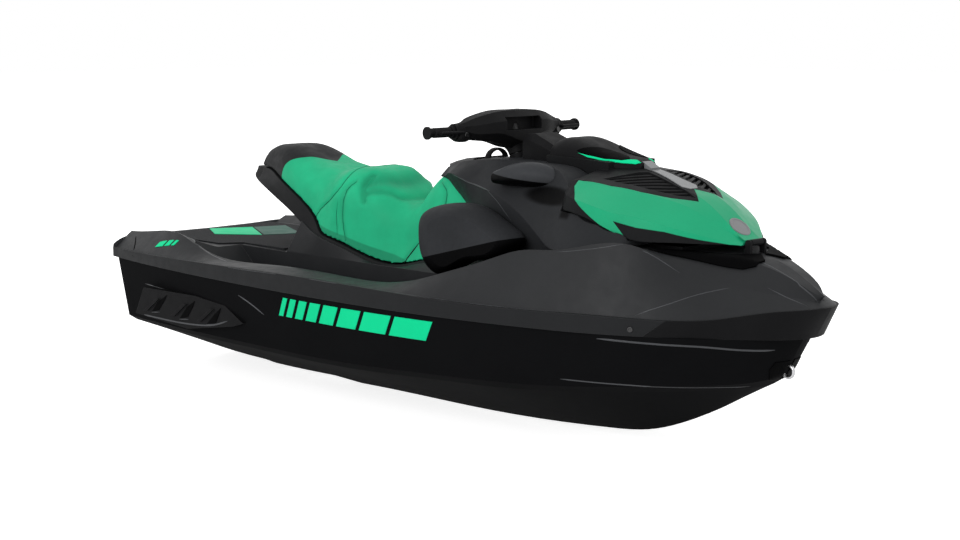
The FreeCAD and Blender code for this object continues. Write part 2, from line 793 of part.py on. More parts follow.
def pump_housing():
    body = tube(axis_point(pump_aft), axis_point(pump_fore), pump_bore + pump_wall, pump_bore)
    tail_aft = pump_aft - tail_length
    tail_outer = tail_bore + nozzle_wall
    spout = rod(axis_point(tail_aft), axis_point(tail_aft + tail_straight), tail_outer)
    outer = Part.makeCone(tail_outer, pump_bore + pump_wall, tail_length - tail_straight,
                          axis_point(tail_aft + tail_straight), ALONG)
    outer = outer.fuse(spout)
    inner = Part.makeCone(tail_bore, pump_bore, tail_length - tail_straight,
                          axis_point(tail_aft + tail_straight), ALONG)
    inner = inner.fuse(rod(axis_point(tail_aft), axis_point(tail_aft + tail_straight), tail_bore))
    hub = rod(axis_point(pump_aft - stator_tail), axis_point(stator_fore), stator_hub_radius)
    vanes = []
    for turn in range(vane_count):
        vane = block(pump_aft, stator_fore, -blade_thickness / 2, blade_thickness / 2,
                     pump_axis_height + stub_radius * 2, pump_axis_height + pump_bore + pump_wall / 2)
        vanes.append(vane.rotate(axis_point(0), ALONG, turn * full_turn / vane_count))
    boss_low = V(nozzle_pivot_x, 0, pump_axis_height + tail_bore)
    bosses = rod(boss_low, boss_low + V(0, 0, boss_height), boss_radius)
    bosses = [bosses, bosses.rotated(axis_point(0), ALONG, full_turn / 2)]
    ear = block(nozzle_pivot_x - ear_radius, pump_aft + ear_root, ear_inner, ear_inner + ear_thickness,
                pump_axis_height - ear_radius, pump_axis_height + ear_radius)
    ear = ear.fuse(block(pump_aft, pump_aft + ear_root, ear_inner - ear_thickness, ear_inner,
                         pump_axis_height - ear_radius, pump_axis_height + ear_radius))
    solid_core = [rod(axis_point(pump_aft), axis_point(pump_fore), pump_bore), inner]
    flange = block(pump_fore - flange_thickness, pump_fore, -tunnel_half_width, tunnel_half_width,
                   flange_low, tunnel_top)
    whole = body.fuse([outer, flange] + bosses + [ear, mirrored(ear)]).cut(solid_core).fuse([hub] + vanes)
    stub_bore = rod(axis_point(pump_aft), axis_point(stator_fore + overrun), stub_radius + pin_gap)
    nozzle_bore = rod(V(nozzle_pivot_x, 0, 0), V(nozzle_pivot_x, 0, tunnel_top), pin_radius + pin_gap)
    gate_bore = rod(V(nozzle_pivot_x, -half_beam, pump_axis_height),
                    V(nozzle_pivot_x, half_beam, pump_axis_height), pin_radius + pin_gap)
    return whole.cut([stub_bore, nozzle_bore, gate_bore])


def blade(turn, fore, aft):
    """One impeller blade: a radial strip that twists as it runs aft."""
    tip = pump_bore - running_gap
    half = blade_thickness / 2
    wires = []
    for step in range(blade_stations):
        share = step / (blade_stations - 1)
        x = aft + (fore - aft) * share
        corners = [V(x, -half, stub_radius), V(x, half, stub_radius), V(x, half, tip), V(x, -half, tip)]
        strip = Part.makePolygon(corners + corners[:1])
        strip.rotate(ORIGIN, ALONG, turn * full_turn / blade_count + blade_twist * share)
        wires.append(strip)
    twisted = loft(wires)
    twisted.translate(V(0, 0, pump_axis_height))
    return twisted


def impeller():
    hub_aft = stator_fore + running_gap
    hub_fore = pump_fore - pump_wall
    hub = rod(axis_point(hub_aft), axis_point(hub_fore), impeller_hub_radius)
    nose = Part.makeCone(impeller_hub_radius, shaft_radius, nose_length, axis_point(hub_fore), ALONG)
    stub = rod(axis_point(pump_aft + pump_wall), axis_point(hub_aft), stub_radius)
    shaft = rod(axis_point(hub_fore), axis_point(shaft_fore), shaft_radius)
    blades = [blade(turn, hub_fore - pump_wall, hub_aft + pump_wall) for turn in range(blade_count)]
    return fused([hub, nose, stub, shaft] + blades)


def steering_nozzle():
    fore = nozzle_pivot_x + nozzle_lap
    aft = nozzle_pivot_x - nozzle_length
    outer = Part.makeCone(nozzle_exit_bore + nozzle_wall, nozzle_mouth_bore + nozzle_wall, fore - aft,
                          axis_point(aft), ALONG)
    inner = Part.makeCone(nozzle_exit_bore, nozzle_mouth_bore, fore - aft, axis_point(aft), ALONG)
    pin_low = V(nozzle_pivot_x, 0, pump_axis_height + tail_bore + nozzle_wall)
    pin_high = V(nozzle_pivot_x, 0, pump_axis_height + nozzle_mouth_bore + nozzle_wall)
    pin = rod(pin_low, pin_high, pin_radius)
    return outer.cut(inner).fuse([pin, pin.rotated(axis_point(0), ALONG, 180.0)])


def polar(radius, angle):
    turned = math.radians(angle)
    return V(nozzle_pivot_x - radius * math.cos(turned), 0, pump_axis_height + radius * math.sin(turned))


def reverse_gate():
    outer = gate_radius + gate_thickness
    middle = (gate_low_angle + gate_high_angle) / 2
    outer_arc = Part.Arc(polar(outer, gate_low_angle), polar(outer, middle),
                         polar(outer, gate_high_angle)).toShape()
    inner_arc = Part.Arc(polar(gate_radius, gate_low_angle), polar(gate_radius, middle),
                         polar(gate_radius, gate_high_angle)).toShape()
    low_edge = Part.makeLine(polar(gate_radius, gate_low_angle), polar(outer, gate_low_angle))
    high_edge = Part.makeLine(polar(gate_radius, gate_high_angle), polar(outer, gate_high_angle))
    section = Part.Face(Part.Wire(Part.__sortEdges__([outer_arc, high_edge, inner_arc, low_edge])))
    shell = section.extrude(V(0, 2 * gate_half_width, 0))
    shell.translate(V(0, -gate_half_width, 0))
    cheek = face_through([polar(ear_radius, 0), polar(ear_radius, -90), polar(ear_radius, 180),
                          polar(outer, gate_high_angle), polar(outer, middle), polar(outer, gate_low_angle)])
    cheek = cheek.extrude(V(0, gate_thickness, 0))
    cheek.translate(V(0, gate_half_width - gate_thickness, 0))
    pin_end = V(nozzle_pivot_x, gate_half_width, pump_axis_height)
    pin = rod(V(nozzle_pivot_x, ear_inner - pump_wall / 4, pump_axis_height), pin_end, pin_radius)
    side = cheek.fuse(pin)
    return fused([shell, side, mirrored(side)])


def column_point(rise):
    lean = math.radians(column_tilt)
    return column_foot + V(-math.sin(lean), 0, math.cos(lean)) * rise


def steering_stem():
    return rod(column_point(-bushing_length), column_point(column_length), column_radius)


def steering_bushing():
    return tube(column_point(-bushing_length), column_point(0), column_radius + bushing_wall,
                column_radius + pin_gap)


def column_well():
    return rod(column_point(-bushing_length * 2), column_point(column_length), column_radius + bushing_wall)


def bar_middle():
    return V(bar_middle_x, 0, bar_height)


def bar_end(inset=0.0):
    direction = (V(bar_x, bar_half_span, bar_height) - bar_middle()).normalize()
    return V(bar_x, bar_half_span, bar_height) - direction * inset


def handlebar_tube():
    half = rod(bar_middle(), bar_end(grip_length), bar_radius)
    return fused([half, mirrored(half), Part.makeSphere(bar_radius, bar_middle())])


def grips():
    grip = rod(bar_end(grip_length), bar_end(), grip_radius)
    flange = rod(bar_end(grip_flange), bar_end(), grip_flange_radius)
    return pair(grip.fuse(flange))


def handlebar_cover():
    """The padded cover over the middle of the bar, lofted across from tip to tip."""
    wires = []
    stations = [(-row[0],) + row[1:] for row in cover_shares] + list(reversed(cover_shares[:-1]))
    for y_share, aft, fore, low, high in stations:
        y = across(y_share)
        chamfer = (along(fore) - along(aft)) * cover_chamfer_share
        points = [V(along(aft) + chamfer, y, above_bond(low)), V(along(fore) - chamfer, y, above_bond(low)),
                  V(along(fore), y, above_bond(low) + chamfer), V(along(fore), y, above_bond(high) - chamfer),
                  V(along(fore) - chamfer, y, above_bond(high)), V(along(aft) + chamfer, y, above_bond(high)),
                  V(along(aft), y, above_bond(high) - chamfer), V(along(aft), y, above_bond(low) + chamfer)]
        wires.append(Part.makePolygon(points + points[:1]))
    pocket = block(cover_pocket_aft, half_length, -cover_pocket_half, cover_pocket_half, cover_pocket_low,
                   cover_pocket_high)
    return loft(wires).cut([handlebar_tube(), steering_stem(), pocket])


def lever():
    """The port lever: a switch housing on the bar, a short arm forward and a blade along the grip."""
    reach = V(lever_reach, 0, 0)
    root = bar_end(grip_length + lever_root)
    start = root + reach
    tip = bar_end(grip_length * lever_tip_share) + reach
    housing = rod(bar_end(grip_length + collar_length), bar_end(grip_length), switch_radius)
    parts = [housing, rod(root, start, lever_radius), rod(start, tip, lever_radius),
             Part.makeSphere(lever_radius, start)]
    return fused(parts).cut(handlebar_tube())


def column_cover():
    """The wedge in front of the handlebar, from its stem down to the hood."""
    wires = []
    for x, half, shoulder, top in column_cover_shares:
        rows = ((half, column_cover_foot_share), (half, shoulder), (half * column_cover_crown_share, top), (0, top))
        wires.append(sharp_section(along(x), station_points(rows)))
    return loft(wires, straight=True)


def latch_loop():
    """A soft pull loop in front of the glovebox lid."""
    loop = side_profile(deck_pairs(latch_shares), -latch_half, latch_half)
    return loop.cut(rod(latch_hole - V(0, half_beam, 0), latch_hole + V(0, half_beam, 0), latch_hole_radius))


def deck_pairs(pairs):
    return [(along(x), above_bond(z)) for x, z in pairs]


def glove_outline(grow):
    """The lid's side view: its top line, and its underside a thickness lower."""
    top = deck_pairs(glove_shares)
    low = [(x, z - glove_lid_thickness - grow) for x, z in top]
    low[0] = (low[0][0] - grow, low[0][1])
    low[-1] = (low[-1][0] + grow, low[-1][1])
    return top, low


def glove_lid():
    top, low = glove_outline(0)
    lid = side_profile(top + low[::-1], -glove_half_width, glove_half_width)
    pin = rod(V(glove_pin_x, -glove_pin_half, glove_pin_z), V(glove_pin_x, glove_pin_half, glove_pin_z),
              glove_pin_radius)
    return lid.fuse(pin)


def glove_case(grow):
    """The pocket under the lid, or with its walls the case that stands in the seat's nose."""
    return block(glove_aft + overrun * 2 - grow, glove_fore - overrun + grow, -glove_half_width + overrun - grow,
                 glove_half_width - overrun + grow, glove_rim - glove_depth - grow, glove_rim + overrun)


def glove_recess():
    gap = running_gap
    top, low = glove_outline(gap)
    sky = height * 2
    room = low + [(low[-1][0], sky), (low[0][0], sky)]
    seat = side_profile(room, -glove_half_width - gap, glove_half_width + gap)
    pin = rod(V(glove_pin_x, -glove_pin_half - pin_gap, glove_pin_z),
              V(glove_pin_x, glove_pin_half + pin_gap, glove_pin_z), glove_pin_radius + pin_gap)
    return seat.fuse([glove_case(0), pin])


def hinge_pin(half):
    return V(hood_hinge_x, -half, hood_hinge_z), V(hood_hinge_x, half, hood_hinge_z)


def hood_knuckle():
    low, high = hinge_pin(hinge_lug_inner + hinge_lug_thickness)
    knuckle_low, knuckle_high = hinge_pin(hinge_lug_inner - running_gap)
    knuckle = rod(knuckle_low, knuckle_high, hinge_knuckle_radius)
    tongue = block(hood_hinge_x - hinge_tongue, hood_hinge_x, -hinge_lug_inner + running_gap,
                   hinge_lug_inner - running_gap, hood_hinge_z - pin_radius, hood_hinge_z + pin_radius)
    return fused([knuckle, tongue, rod(low, high, hood_pin_radius)])


def hinge_lugs():
    low, high = hinge_pin(hinge_lug_inner + overrun * 2)
    bore = rod(low, high, hood_pin_radius + pin_gap)
    lug = block(hood_hinge_x - hinge_knuckle_radius, hood_hinge_x + hinge_knuckle_radius, hinge_lug_inner,
                hinge_lug_inner + hinge_lug_thickness, hood_hinge_z - overrun * 2, hood_hinge_z)
    eye = rod(V(hood_hinge_x, hinge_lug_inner, hood_hinge_z),
              V(hood_hinge_x, hinge_lug_inner + hinge_lug_thickness, hood_hinge_z), hinge_knuckle_radius)
    return pair(lug.fuse(eye).cut(bore))


def lug_room():
    """The room that the hood leaves round each lug through its whole swing."""
    inner = hinge_lug_inner - running_gap
    outer = hinge_lug_inner + hinge_lug_thickness + running_gap
    room = rod(V(hood_hinge_x, inner, hood_hinge_z), V(hood_hinge_x, outer, hood_hinge_z),
               hinge_knuckle_radius + running_gap)
    foot = block(hood_hinge_x - hinge_knuckle_radius - running_gap, hood_hinge_x + overrun, inner, outer,
                 hood_hinge_z - overrun * 2, hood_hinge_z)
    return [room, foot, mirrored(room), mirrored(foot)]


def ring_eye(x, z, radius):
    """A tow eye: a round bar bent to a ring that stands out of the hull on the centreline."""
    return Part.makeTorus(radius, eye_bar_radius, V(x, 0, z), ACROSS)


def sponson():
    """A fin along the chine, its lower edge drawn in, with three slanted ribs."""
    outline = [(along(x), hull_depth * z) for x, z in sponson_shares]
    fin = side_profile(outline, sponson_inner, sponson_outer)
    ribs = []
    for aft, fore in rib_shares:
        rib = [(along(fore), rib_high), (along(fore) + rib_width, rib_high), (along(aft) + rib_width, rib_low),
               (along(aft), rib_low)]
        ribs.append(side_profile(rib, sponson_outer - rib_height, sponson_outer + rib_height))
    return fin.fuse(ribs)


def vee(y, low):
    """The height of the hull's bottom, which rises evenly from the keel."""
    return low + abs(y) * plate_slope_share


def ride_plate():
    """A shallow vee that closes the underside of the tunnel behind the intake."""
    half = plate_half_width
    low = [V(tunnel_fore, y, vee(y, plate_low)) for y in (-half, 0, half)]
    high = [point + V(0, 0, plate_thickness) for point in reversed(low)]
    return face_through(low + high).extrude(V(plate_aft - tunnel_fore, 0, 0))


def intake_grate():
    bars = []
    depth = grate_bar * 2
    for place in range(grate_bars):
        y = intake_half_width * (2 * (place + 1) / (grate_bars + 1) - 1)
        low = vee(y, grate_low)
        bars.append(block(tunnel_fore, intake_fore, y - grate_bar / 2, y + grate_bar / 2, low, low + depth))
    half = intake_half_width
    for x in (tunnel_fore, (tunnel_fore + intake_fore) / 2, intake_fore - grate_bar * 4):
        low = [V(x, y, vee(y, grate_low)) for y in (-half, 0, half)]
        high = [point + V(0, 0, depth) for point in reversed(low)]
        bars.append(face_through(low + high).extrude(V(depth, 0, 0)))
    return fused(bars)


def storage_bin():
    outer = block(bin_aft, bin_fore, -bin_half_width, bin_half_width, bin_floor, bin_top)
    inner = block(bin_aft + bin_wall, bin_fore - bin_wall, -bin_half_width + bin_wall,
                  bin_half_width - bin_wall, bin_floor + bin_wall, height)
    return outer.cut(inner)


def engine_block():
    middle = (engine_bay_aft + engine_bay_fore) / 2
    return block(middle - engine_length / 2, middle + engine_length / 2, -engine_half_width,
                 engine_half_width, engine_bay_floor, engine_bay_floor + engine_height)


def footwell_mats():
    aft = along(footwell_profile_shares[1][0])
    fore = along(footwell_profile_shares[2][0])
    return pair(block(aft, fore, footwell_inner + mat_margin, footwell_outer - mat_margin, footwell_floor,
                      footwell_floor + mat_thickness))


def platform_mat(deck_shape):
    top = above_bond(platform_share) + mat_thickness
    sheet = plan_prism(platform_mat_shares, top - mat_thickness * 2)
    return sheet.common(block(-half_length, half_length, -half_beam, half_beam, 0, top)).cut(deck_shape)


def stern_bumper():
    """A rounded bumper across the stern, bowed aft in its middle."""
    low = hull_depth
    wires = []
    port_rows = [(-y, x, top) for y, x, top in bumper_shares]
    for y, x, top in port_rows + list(reversed(bumper_shares[:-1])):
        y = across(y)
        aft = along(x)
        high = above_bond(top)
        middle = low + (high - low) * bumper_belly_share
        shallow = (aft + bumper_fore) / 2
        bulge = smooth([V(bumper_fore, y, low), V(shallow + (aft - shallow) / 2, y, low + (middle - low) / 3),
                        V(aft, y, middle), V(shallow + (aft - shallow) / 2, y, high - (middle - low) / 3),
                        V(bumper_fore, y, high)])
        back = Part.makeLine(V(bumper_fore, y, high), V(bumper_fore, y, low))
        wires.append(Part.Wire([bulge, back]))
    return loft(wires)


def bow_side():
    """Everything ahead of the slanted joint between the rub band and the bow bumper."""
    outline = [(split_low, 0), (split_low, hull_depth), (split_high, split_head), (split_high, height),
               (half_length + overrun, height), (half_length + overrun, 0)]
    return side_profile(outline, -half_beam, half_beam)


def tail_block():
    """The room of the moulded lip round the seat's tail."""
    return block(-half_length, handle_x, -half_beam, half_beam, 0, height)


def finger_groove():
    return rod(V(groove_x, -groove_half, groove_z), V(groove_x, groove_half, groove_z), groove_radius)


nodes = {}


def build():
    hood = hood_blank()
    hood_clear = hood_blank(lid_gap)
    visor = visor_blank()
    pedestal = seat_pedestal()
    between_wells = block(-half_length, half_length, -footwell_inner, footwell_inner, 0, height)
    fairing_solid = fairing_blank()
    deck_all = deck().fuse(pedestal.common(between_wells)).cut([engine_bay(), hood_clear])
    case = glove_case(glove_wall)
    seat_solid = seat_blank().cut([case, tail_notch()])
    fairing = fairing_solid.cut([deck_all, seat_solid, bin_outer(), hood_clear, glove_recess(),
                                 column_well(), engine_bay()])
    seat = seat_solid.cut(pedestal)
    slab = pan_slab()
    pan = seat.common(slab)
    cushions = seat.cut(slab)
    aft_half = block(-half_length, seat_split, -half_beam, half_beam, 0, height)
    hull = hull_shell()
    pump = pump_housing()
    rail = rub_rail()
    mirror = largest(mirror_housing().cut([fairing_solid, hood_clear]))
    hood_solid = hood.cut(hood_void()).cut(lug_room())
    openings = fused(grille_openings().Solids)
    hood_solid = hood_solid.cut(openings.common(hood.cut(lowered(hood, grille_depth))))
    green = hood_green()
    tip = visor_tip()

    nodes["hull_shell"] = hull
    nodes["deck"] = deck_all
    nodes["rub_rail"] = rail.cut(bow_side())
    nodes["bow_bumper"] = rail.common(bow_side())
    nodes["stern_bumper"] = stern_bumper()
    nodes["sponsons"] = pair(largest(sponson().cut(hull)))
    nodes["ride_plate"] = ride_plate().cut(pump)
    nodes["intake_grate"] = intake_grate().cut(hull)
    nodes["pump_housing"] = pump
    nodes["engine_block"] = engine_block()
    nodes["storage_bin"] = storage_bin()
    nodes["bow_eye"] = ring_eye(bow_eye_x, bow_eye_z, eye_radius).cut(hull)
    nodes["stern_eye"] = ring_eye(stern_eye_x, stern_eye_z, eye_radius).cut(hull)
    nodes["seat_pan"] = pan.cut(tail_block())
    nodes["passenger_cushion"] = cushions.common(aft_half)
    nodes["driver_cushion"] = cushions.cut(aft_half)
    nodes["grab_handle"] = pan.common(tail_block()).cut(finger_groove())
    nodes["footwell_mats"] = footwell_mats()
    nodes["platform_mat"] = platform_mat(deck_all)
    nodes["console_fairing"] = fairing
    nodes["column_cover"] = column_cover().cut([fairing, hood_clear])
    nodes["latch_loop"] = latch_loop().cut([fairing, glove_recess()])
    nodes["steering_bushing"] = steering_bushing()
    nodes["speaker_pods"] = pair(speaker_pod().cut([deck_all, fairing_solid]))
    nodes["mirror_housings"] = pair(mirror)
    nodes["mirror_glasses"] = pair(mirror_glass().cut(fairing_solid))
    nodes["hinge_lugs"] = hinge_lugs().cut(deck_all)

    nodes["hood_shell"] = hood_solid.cut(green).fuse(hood_knuckle())
    nodes["hood_panel"] = kept(hood_solid.common(green).cut(hood_knuckle()))
    nodes["hood_grille"] = kept(hood_grille(hood))
    nodes["ridge_strip"] = ridge_strip(hood).cut([visor, tip])
    nodes["gauge_visor"] = visor.cut([hood, visor_pocket(), tip])
    nodes["gauge_display"] = gauge_display().cut(hood)
    nodes["visor_tip"] = tip.cut(hood)

    nodes["steering_stem"] = steering_stem().cut(handlebar_tube())
    nodes["handlebar_tube"] = handlebar_tube()
    nodes["handlebar_cover"] = largest(handlebar_cover().cut([lever(), mirrored(lever())]))
    nodes["grips"] = grips().cut(handlebar_tube())
    nodes["brake_lever"] = lever()
    nodes["throttle_lever"] = mirrored(lever())

    nodes["glovebox_lid"] = glove_lid()
    nodes["steering_nozzle"] = steering_nozzle()
    nodes["reverse_gate"] = reverse_gate()
    nodes["impeller"] = impeller()


build()
for name, shape in nodes.items():
    shape.translate(V(0, 0, -draft))
    solids = shape.Solids
    print(name, len(solids), shape.isValid(), round(sum(s.Volume for s in solids) / 1e6, 2))
    shape.exportStep("parts/" + name + ".step")
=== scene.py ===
import json
import math

import bmesh
import bpy
import numpy as np
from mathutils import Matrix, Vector
from mathutils.bvhtree import BVHTree


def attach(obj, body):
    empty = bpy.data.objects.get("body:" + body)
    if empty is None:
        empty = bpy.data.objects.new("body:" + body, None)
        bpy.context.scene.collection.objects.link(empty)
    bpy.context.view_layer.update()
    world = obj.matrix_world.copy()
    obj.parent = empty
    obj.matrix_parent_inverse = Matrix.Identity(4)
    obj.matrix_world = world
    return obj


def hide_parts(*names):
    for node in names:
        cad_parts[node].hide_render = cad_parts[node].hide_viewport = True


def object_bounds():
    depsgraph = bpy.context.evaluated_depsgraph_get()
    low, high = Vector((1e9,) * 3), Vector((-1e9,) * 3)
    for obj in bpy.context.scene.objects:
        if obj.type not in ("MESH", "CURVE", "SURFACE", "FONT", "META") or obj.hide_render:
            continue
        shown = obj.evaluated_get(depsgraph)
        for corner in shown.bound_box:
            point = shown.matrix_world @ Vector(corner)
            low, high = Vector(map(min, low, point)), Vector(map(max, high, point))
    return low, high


SIDES = (("starboard", -1), ("port", 1))

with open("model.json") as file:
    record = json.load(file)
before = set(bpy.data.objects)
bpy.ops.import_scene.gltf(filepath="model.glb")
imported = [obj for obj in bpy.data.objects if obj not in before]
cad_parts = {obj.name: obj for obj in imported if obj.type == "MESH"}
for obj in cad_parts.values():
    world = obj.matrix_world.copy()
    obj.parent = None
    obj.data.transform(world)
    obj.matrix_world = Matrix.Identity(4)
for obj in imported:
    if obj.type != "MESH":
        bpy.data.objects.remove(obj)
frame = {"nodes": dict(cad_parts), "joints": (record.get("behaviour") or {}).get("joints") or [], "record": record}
cad_low, cad_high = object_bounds()
nodes = frame["nodes"]
scene = bpy.context.scene

# Colours, as linear values
DECK_GREY = (0.0152, 0.0159, 0.0173)
HULL_BLACK = (0.0056, 0.0057, 0.0062)
TRIM_BLACK = (0.0066, 0.0066, 0.0072)
SEAT_GREEN = (0.015, 0.420, 0.205)
HOOD_GREEN = (0.009, 0.335, 0.158)
BRIGHT_GREEN = (0.005, 0.660, 0.290)
DULL_GREEN = (0.030, 0.110, 0.080)
MID_GREY = (0.16, 0.165, 0.17)
TAIL_BLACK = (0.0095, 0.0100, 0.0110)
# Black for black windows and dark joints, and for painted shade in hollows, slots, gaps and undersides
BLACK_AND_PAINTED_SHADE = (0.0012, 0.0012, 0.0014)

# The dark panel on the seat's tail: its front edge, from the middle outwards, as shares of its half
# width and of its reach
TAIL_EDGE = ((0.0, 0.65), (0.23, 0.55), (0.38, 0.48), (0.56, 0.41), (0.70, 0.29), (0.785, 0.16),
             (0.86, 0.0))
TAIL_HALF_WIDTH = 0.2
TAIL_REACH = 0.34
TAIL_START = -0.945
# Painted shade below a line along the seat's lower edge, where the cushion faces down: the line's height at
# mid-length and its fall per metre ahead
SHADE_LINE_HEIGHT = 0.322
SHADE_LINE_FALL = 0.2046


# Materials
class Tree:
    """A material's node tree with short calls for nodes and links."""

    def __init__(self, name):
        self.material = bpy.data.materials.new(name)
        self.material.use_nodes = True
        self.nodes = self.material.node_tree.nodes
        self.links = self.material.node_tree.links
        self.shader = self.nodes["Principled BSDF"]
        self.place = self.nodes.new("ShaderNodeTexCoord").outputs["Object"]

    def add(self, kind, inputs=None, **settings):
        """Adds a node; an input is a number, a colour or another node's socket."""
        made = self.nodes.new("ShaderNode" + kind)
        for key, value in settings.items():
            setattr(made, key, value)
        for key, value in (inputs or {}).items():
            if hasattr(value, "is_linked"):
                self.links.new(value, made.inputs[key])
            else:
                made.inputs[key].default_value = value
        return made

    def noise(self, scale, detail=4.0, rough=0.55, place=None):
        """A cloudy value from 0 to 1."""
        inputs = {"Vector": place or self.place, "Scale": scale, "Detail": detail, "Roughness": rough}
        return self.add("TexNoise", inputs).outputs["Fac"]

    def math(self, operation, a, b=0.0):
        """One sum of two values."""
        return self.add("Math", {0: a, 1: b}, operation=operation).outputs[0]

    def span(self, value, low, high, to_low=0.0, to_high=1.0):
        """A soft step: to_low at low, to_high at high."""
        inputs = {"Value": value, "From Min": low, "From Max": high, "To Min": to_low, "To Max": to_high}
        return self.add("MapRange", inputs, interpolation_type="SMOOTHSTEP").outputs["Result"]

    def mix(self, factor, a, b):
        """A blend of two colours, all b where the factor is 1."""
        made = self.add("Mix", data_type="RGBA")
        for index, value in ((0, factor), (6, a), (7, b)):
            if hasattr(value, "is_linked"):
                self.links.new(value, made.inputs[index])
            else:
                made.inputs[index].default_value = value if index == 0 else (*value[:3], 1.0)
        return made.outputs[2]

    def axes(self):
        """The point's own x, y and z."""
        parts = self.add("SeparateXYZ", {0: self.place})
        return parts.outputs["X"], parts.outputs["Y"], parts.outputs["Z"]

    def bump(self, height, strength, distance, under=None):
        """Normals from a height, laid over other normals if given."""
        inputs = {"Height": height, "Strength": strength, "Distance": distance}
        if under is not None:
            inputs["Normal"] = under
        return self.add("Bump", inputs).outputs["Normal"]

    def rounded(self, radius):
        """Normals that round the edges over a small radius, and how near an edge lies."""
        soft = self.add("Bevel", {"Radius": radius}, samples=4).outputs["Normal"]
        flat = self.add("NewGeometry").outputs["Normal"]
        turn = self.add("VectorMath", {0: soft, 1: flat}, operation="DOT_PRODUCT").outputs["Value"]
        return soft, self.span(self.math("SUBTRACT", 1.0, turn), 0.05, 0.30)

    def drive(self, socket, value):
        """Sets a socket of the shader, or links another node's socket to it."""
        if hasattr(value, "is_linked"):
            self.links.new(value, self.shader.inputs[socket])
        else:
            self.shader.inputs[socket].default_value = value


def tint(colour, share):
    """A colour made lighter or darker."""
    return tuple(min(1.0, c * share) for c in colour)


def surface(name, colour, rough, specular=0.3, coat=0.0, coat_rough=0.1, mottle=0.12, grain_scale=900.0,
            grain=0.15, grain_depth=0.0003, edge=0.003, wear_and_highlight=0.25, uneven=1.0):
    """A moulded or painted surface: faint clouding, uneven gloss, fine grain and rounded edges, lightened partly
    as wear and partly as a painted highlight.
    """
    t = Tree(name)
    clouds = t.math("MULTIPLY", t.noise(6.0, 5.0), 0.7)
    specks = t.math("MULTIPLY", t.noise(70.0, 3.0), 0.3)
    tone = t.math("ADD", clouds, specks)
    shade = t.mix(t.span(tone, 0.3, 0.7), tint(colour, 1 - mottle), tint(colour, 1 + mottle))
    soft, rim = t.rounded(edge)
    # Lighter edges: partly wear, partly a painted highlight along each rounded edge
    edge_wear_and_highlight = t.math("MULTIPLY", rim, wear_and_highlight)
    t.drive("Base Color", t.mix(edge_wear_and_highlight, shade, tuple(0.10 + 0.9 * c for c in colour)))
    duller, glossier = rough + 0.06 * uneven, rough - 0.05 * uneven
    t.drive("Roughness", t.span(t.noise(22.0, 4.0), 0.25, 0.75, glossier, duller))
    t.drive("Specular IOR Level", specular)
    t.drive("Coat Weight", coat)
    t.drive("Coat Roughness", coat_rough)
    cells = t.add("TexVoronoi", {"Vector": t.place, "Scale": grain_scale}).outputs["Distance"]
    t.drive("Normal", t.bump(cells, grain, grain_depth, soft))
    return t


def vinyl(name, colour, dark):
    """Seat vinyl: a pebbled grain, soft wrinkles, painted shade in the creases and on the downward band along the
    lower edge, and a dark panel round the tail.
    """
    t = Tree(name)
    pebble = t.add("TexVoronoi", {"Vector": t.place, "Scale": 420.0}, feature="SMOOTH_F1")
    folds = t.noise(16.0, 3.0, 0.5)
    shade = t.mix(t.span(t.noise(9.0, 5.0), 0.3, 0.7), tint(colour, 0.92), tint(colour, 1.07))
    # Painted shade in the creases and hollows, darker the deeper they were pressed
    crease_shade = t.add("Attribute", attribute_name="crease_shade", attribute_type="GEOMETRY").outputs["Fac"]
    shade = t.mix(t.math("MULTIPLY", crease_shade, 0.55), shade, tint(colour, 0.42))
    x, y, z = t.axes()
    side = t.math("ABSOLUTE", y)
    curve = t.add("FloatCurve", {"Value": t.math("MULTIPLY", side, 1 / TAIL_HALF_WIDTH)})
    line = curve.mapping.curves[0]
    line.points[0].location = TAIL_EDGE[0]
    line.points[1].location = TAIL_EDGE[-1]
    for spot in TAIL_EDGE[1:-1]:
        line.points.new(*spot)
    curve.mapping.update()
    edge = t.math("ADD", t.math("MULTIPLY", curve.outputs["Value"], TAIL_REACH), TAIL_START)
    past = t.span(t.math("SUBTRACT", edge, x), -0.0015, 0.0015)
    # Painted shade below the line along the seat's lower edge, where the cushion faces down
    shade_line = t.math("SUBTRACT", SHADE_LINE_HEIGHT, t.math("MULTIPLY", x, SHADE_LINE_FALL))
    below = t.span(t.math("SUBTRACT", shade_line, z), -0.003, 0.003)
    shade = t.mix(below, shade, tint(colour, 0.62))
    shade = t.mix(past, shade, dark)
    t.drive("Base Color", shade)
    t.drive("Roughness", t.span(t.noise(30.0, 3.0), 0.3, 0.7, 0.48, 0.60))
    t.drive("Specular IOR Level", 0.12)
    soft = t.bump(folds, 0.25, 0.004)
    t.drive("Normal", t.bump(pebble.outputs["Distance"], 0.3, 0.0005, soft))
    return t


def ribbed(name, colour, pitch, turn):
    """Closed-cell foam matting with slanted grooves, painted shade in the grooves, and a brushed top."""
    t = Tree(name)
    turned = t.add("VectorRotate", {"Vector": t.place, "Angle": turn}, rotation_type="Z_AXIS").outputs[0]
    wave = t.add("TexWave", {"Vector": turned, "Scale": 1.0 / pitch, "Distortion": 0.0},
                 wave_type="BANDS", bands_direction="X")
    groove = t.span(wave.outputs["Fac"], 0.0, 0.25)
    # Painted shade in the grooves
    shade = t.mix(groove, tint(colour, 0.35), colour)
    speck = t.span(t.noise(500.0, 2.0), 0.3, 0.7)
    t.drive("Base Color", t.mix(speck, tint(colour, 0.8), shade))
    t.drive("Roughness", 0.85)
    t.drive("Specular IOR Level", 0.2)
    fine = t.bump(t.noise(900.0, 2.0), 0.3, 0.0004)
    t.drive("Normal", t.bump(groove, 0.8, 0.002, fine))
    return t


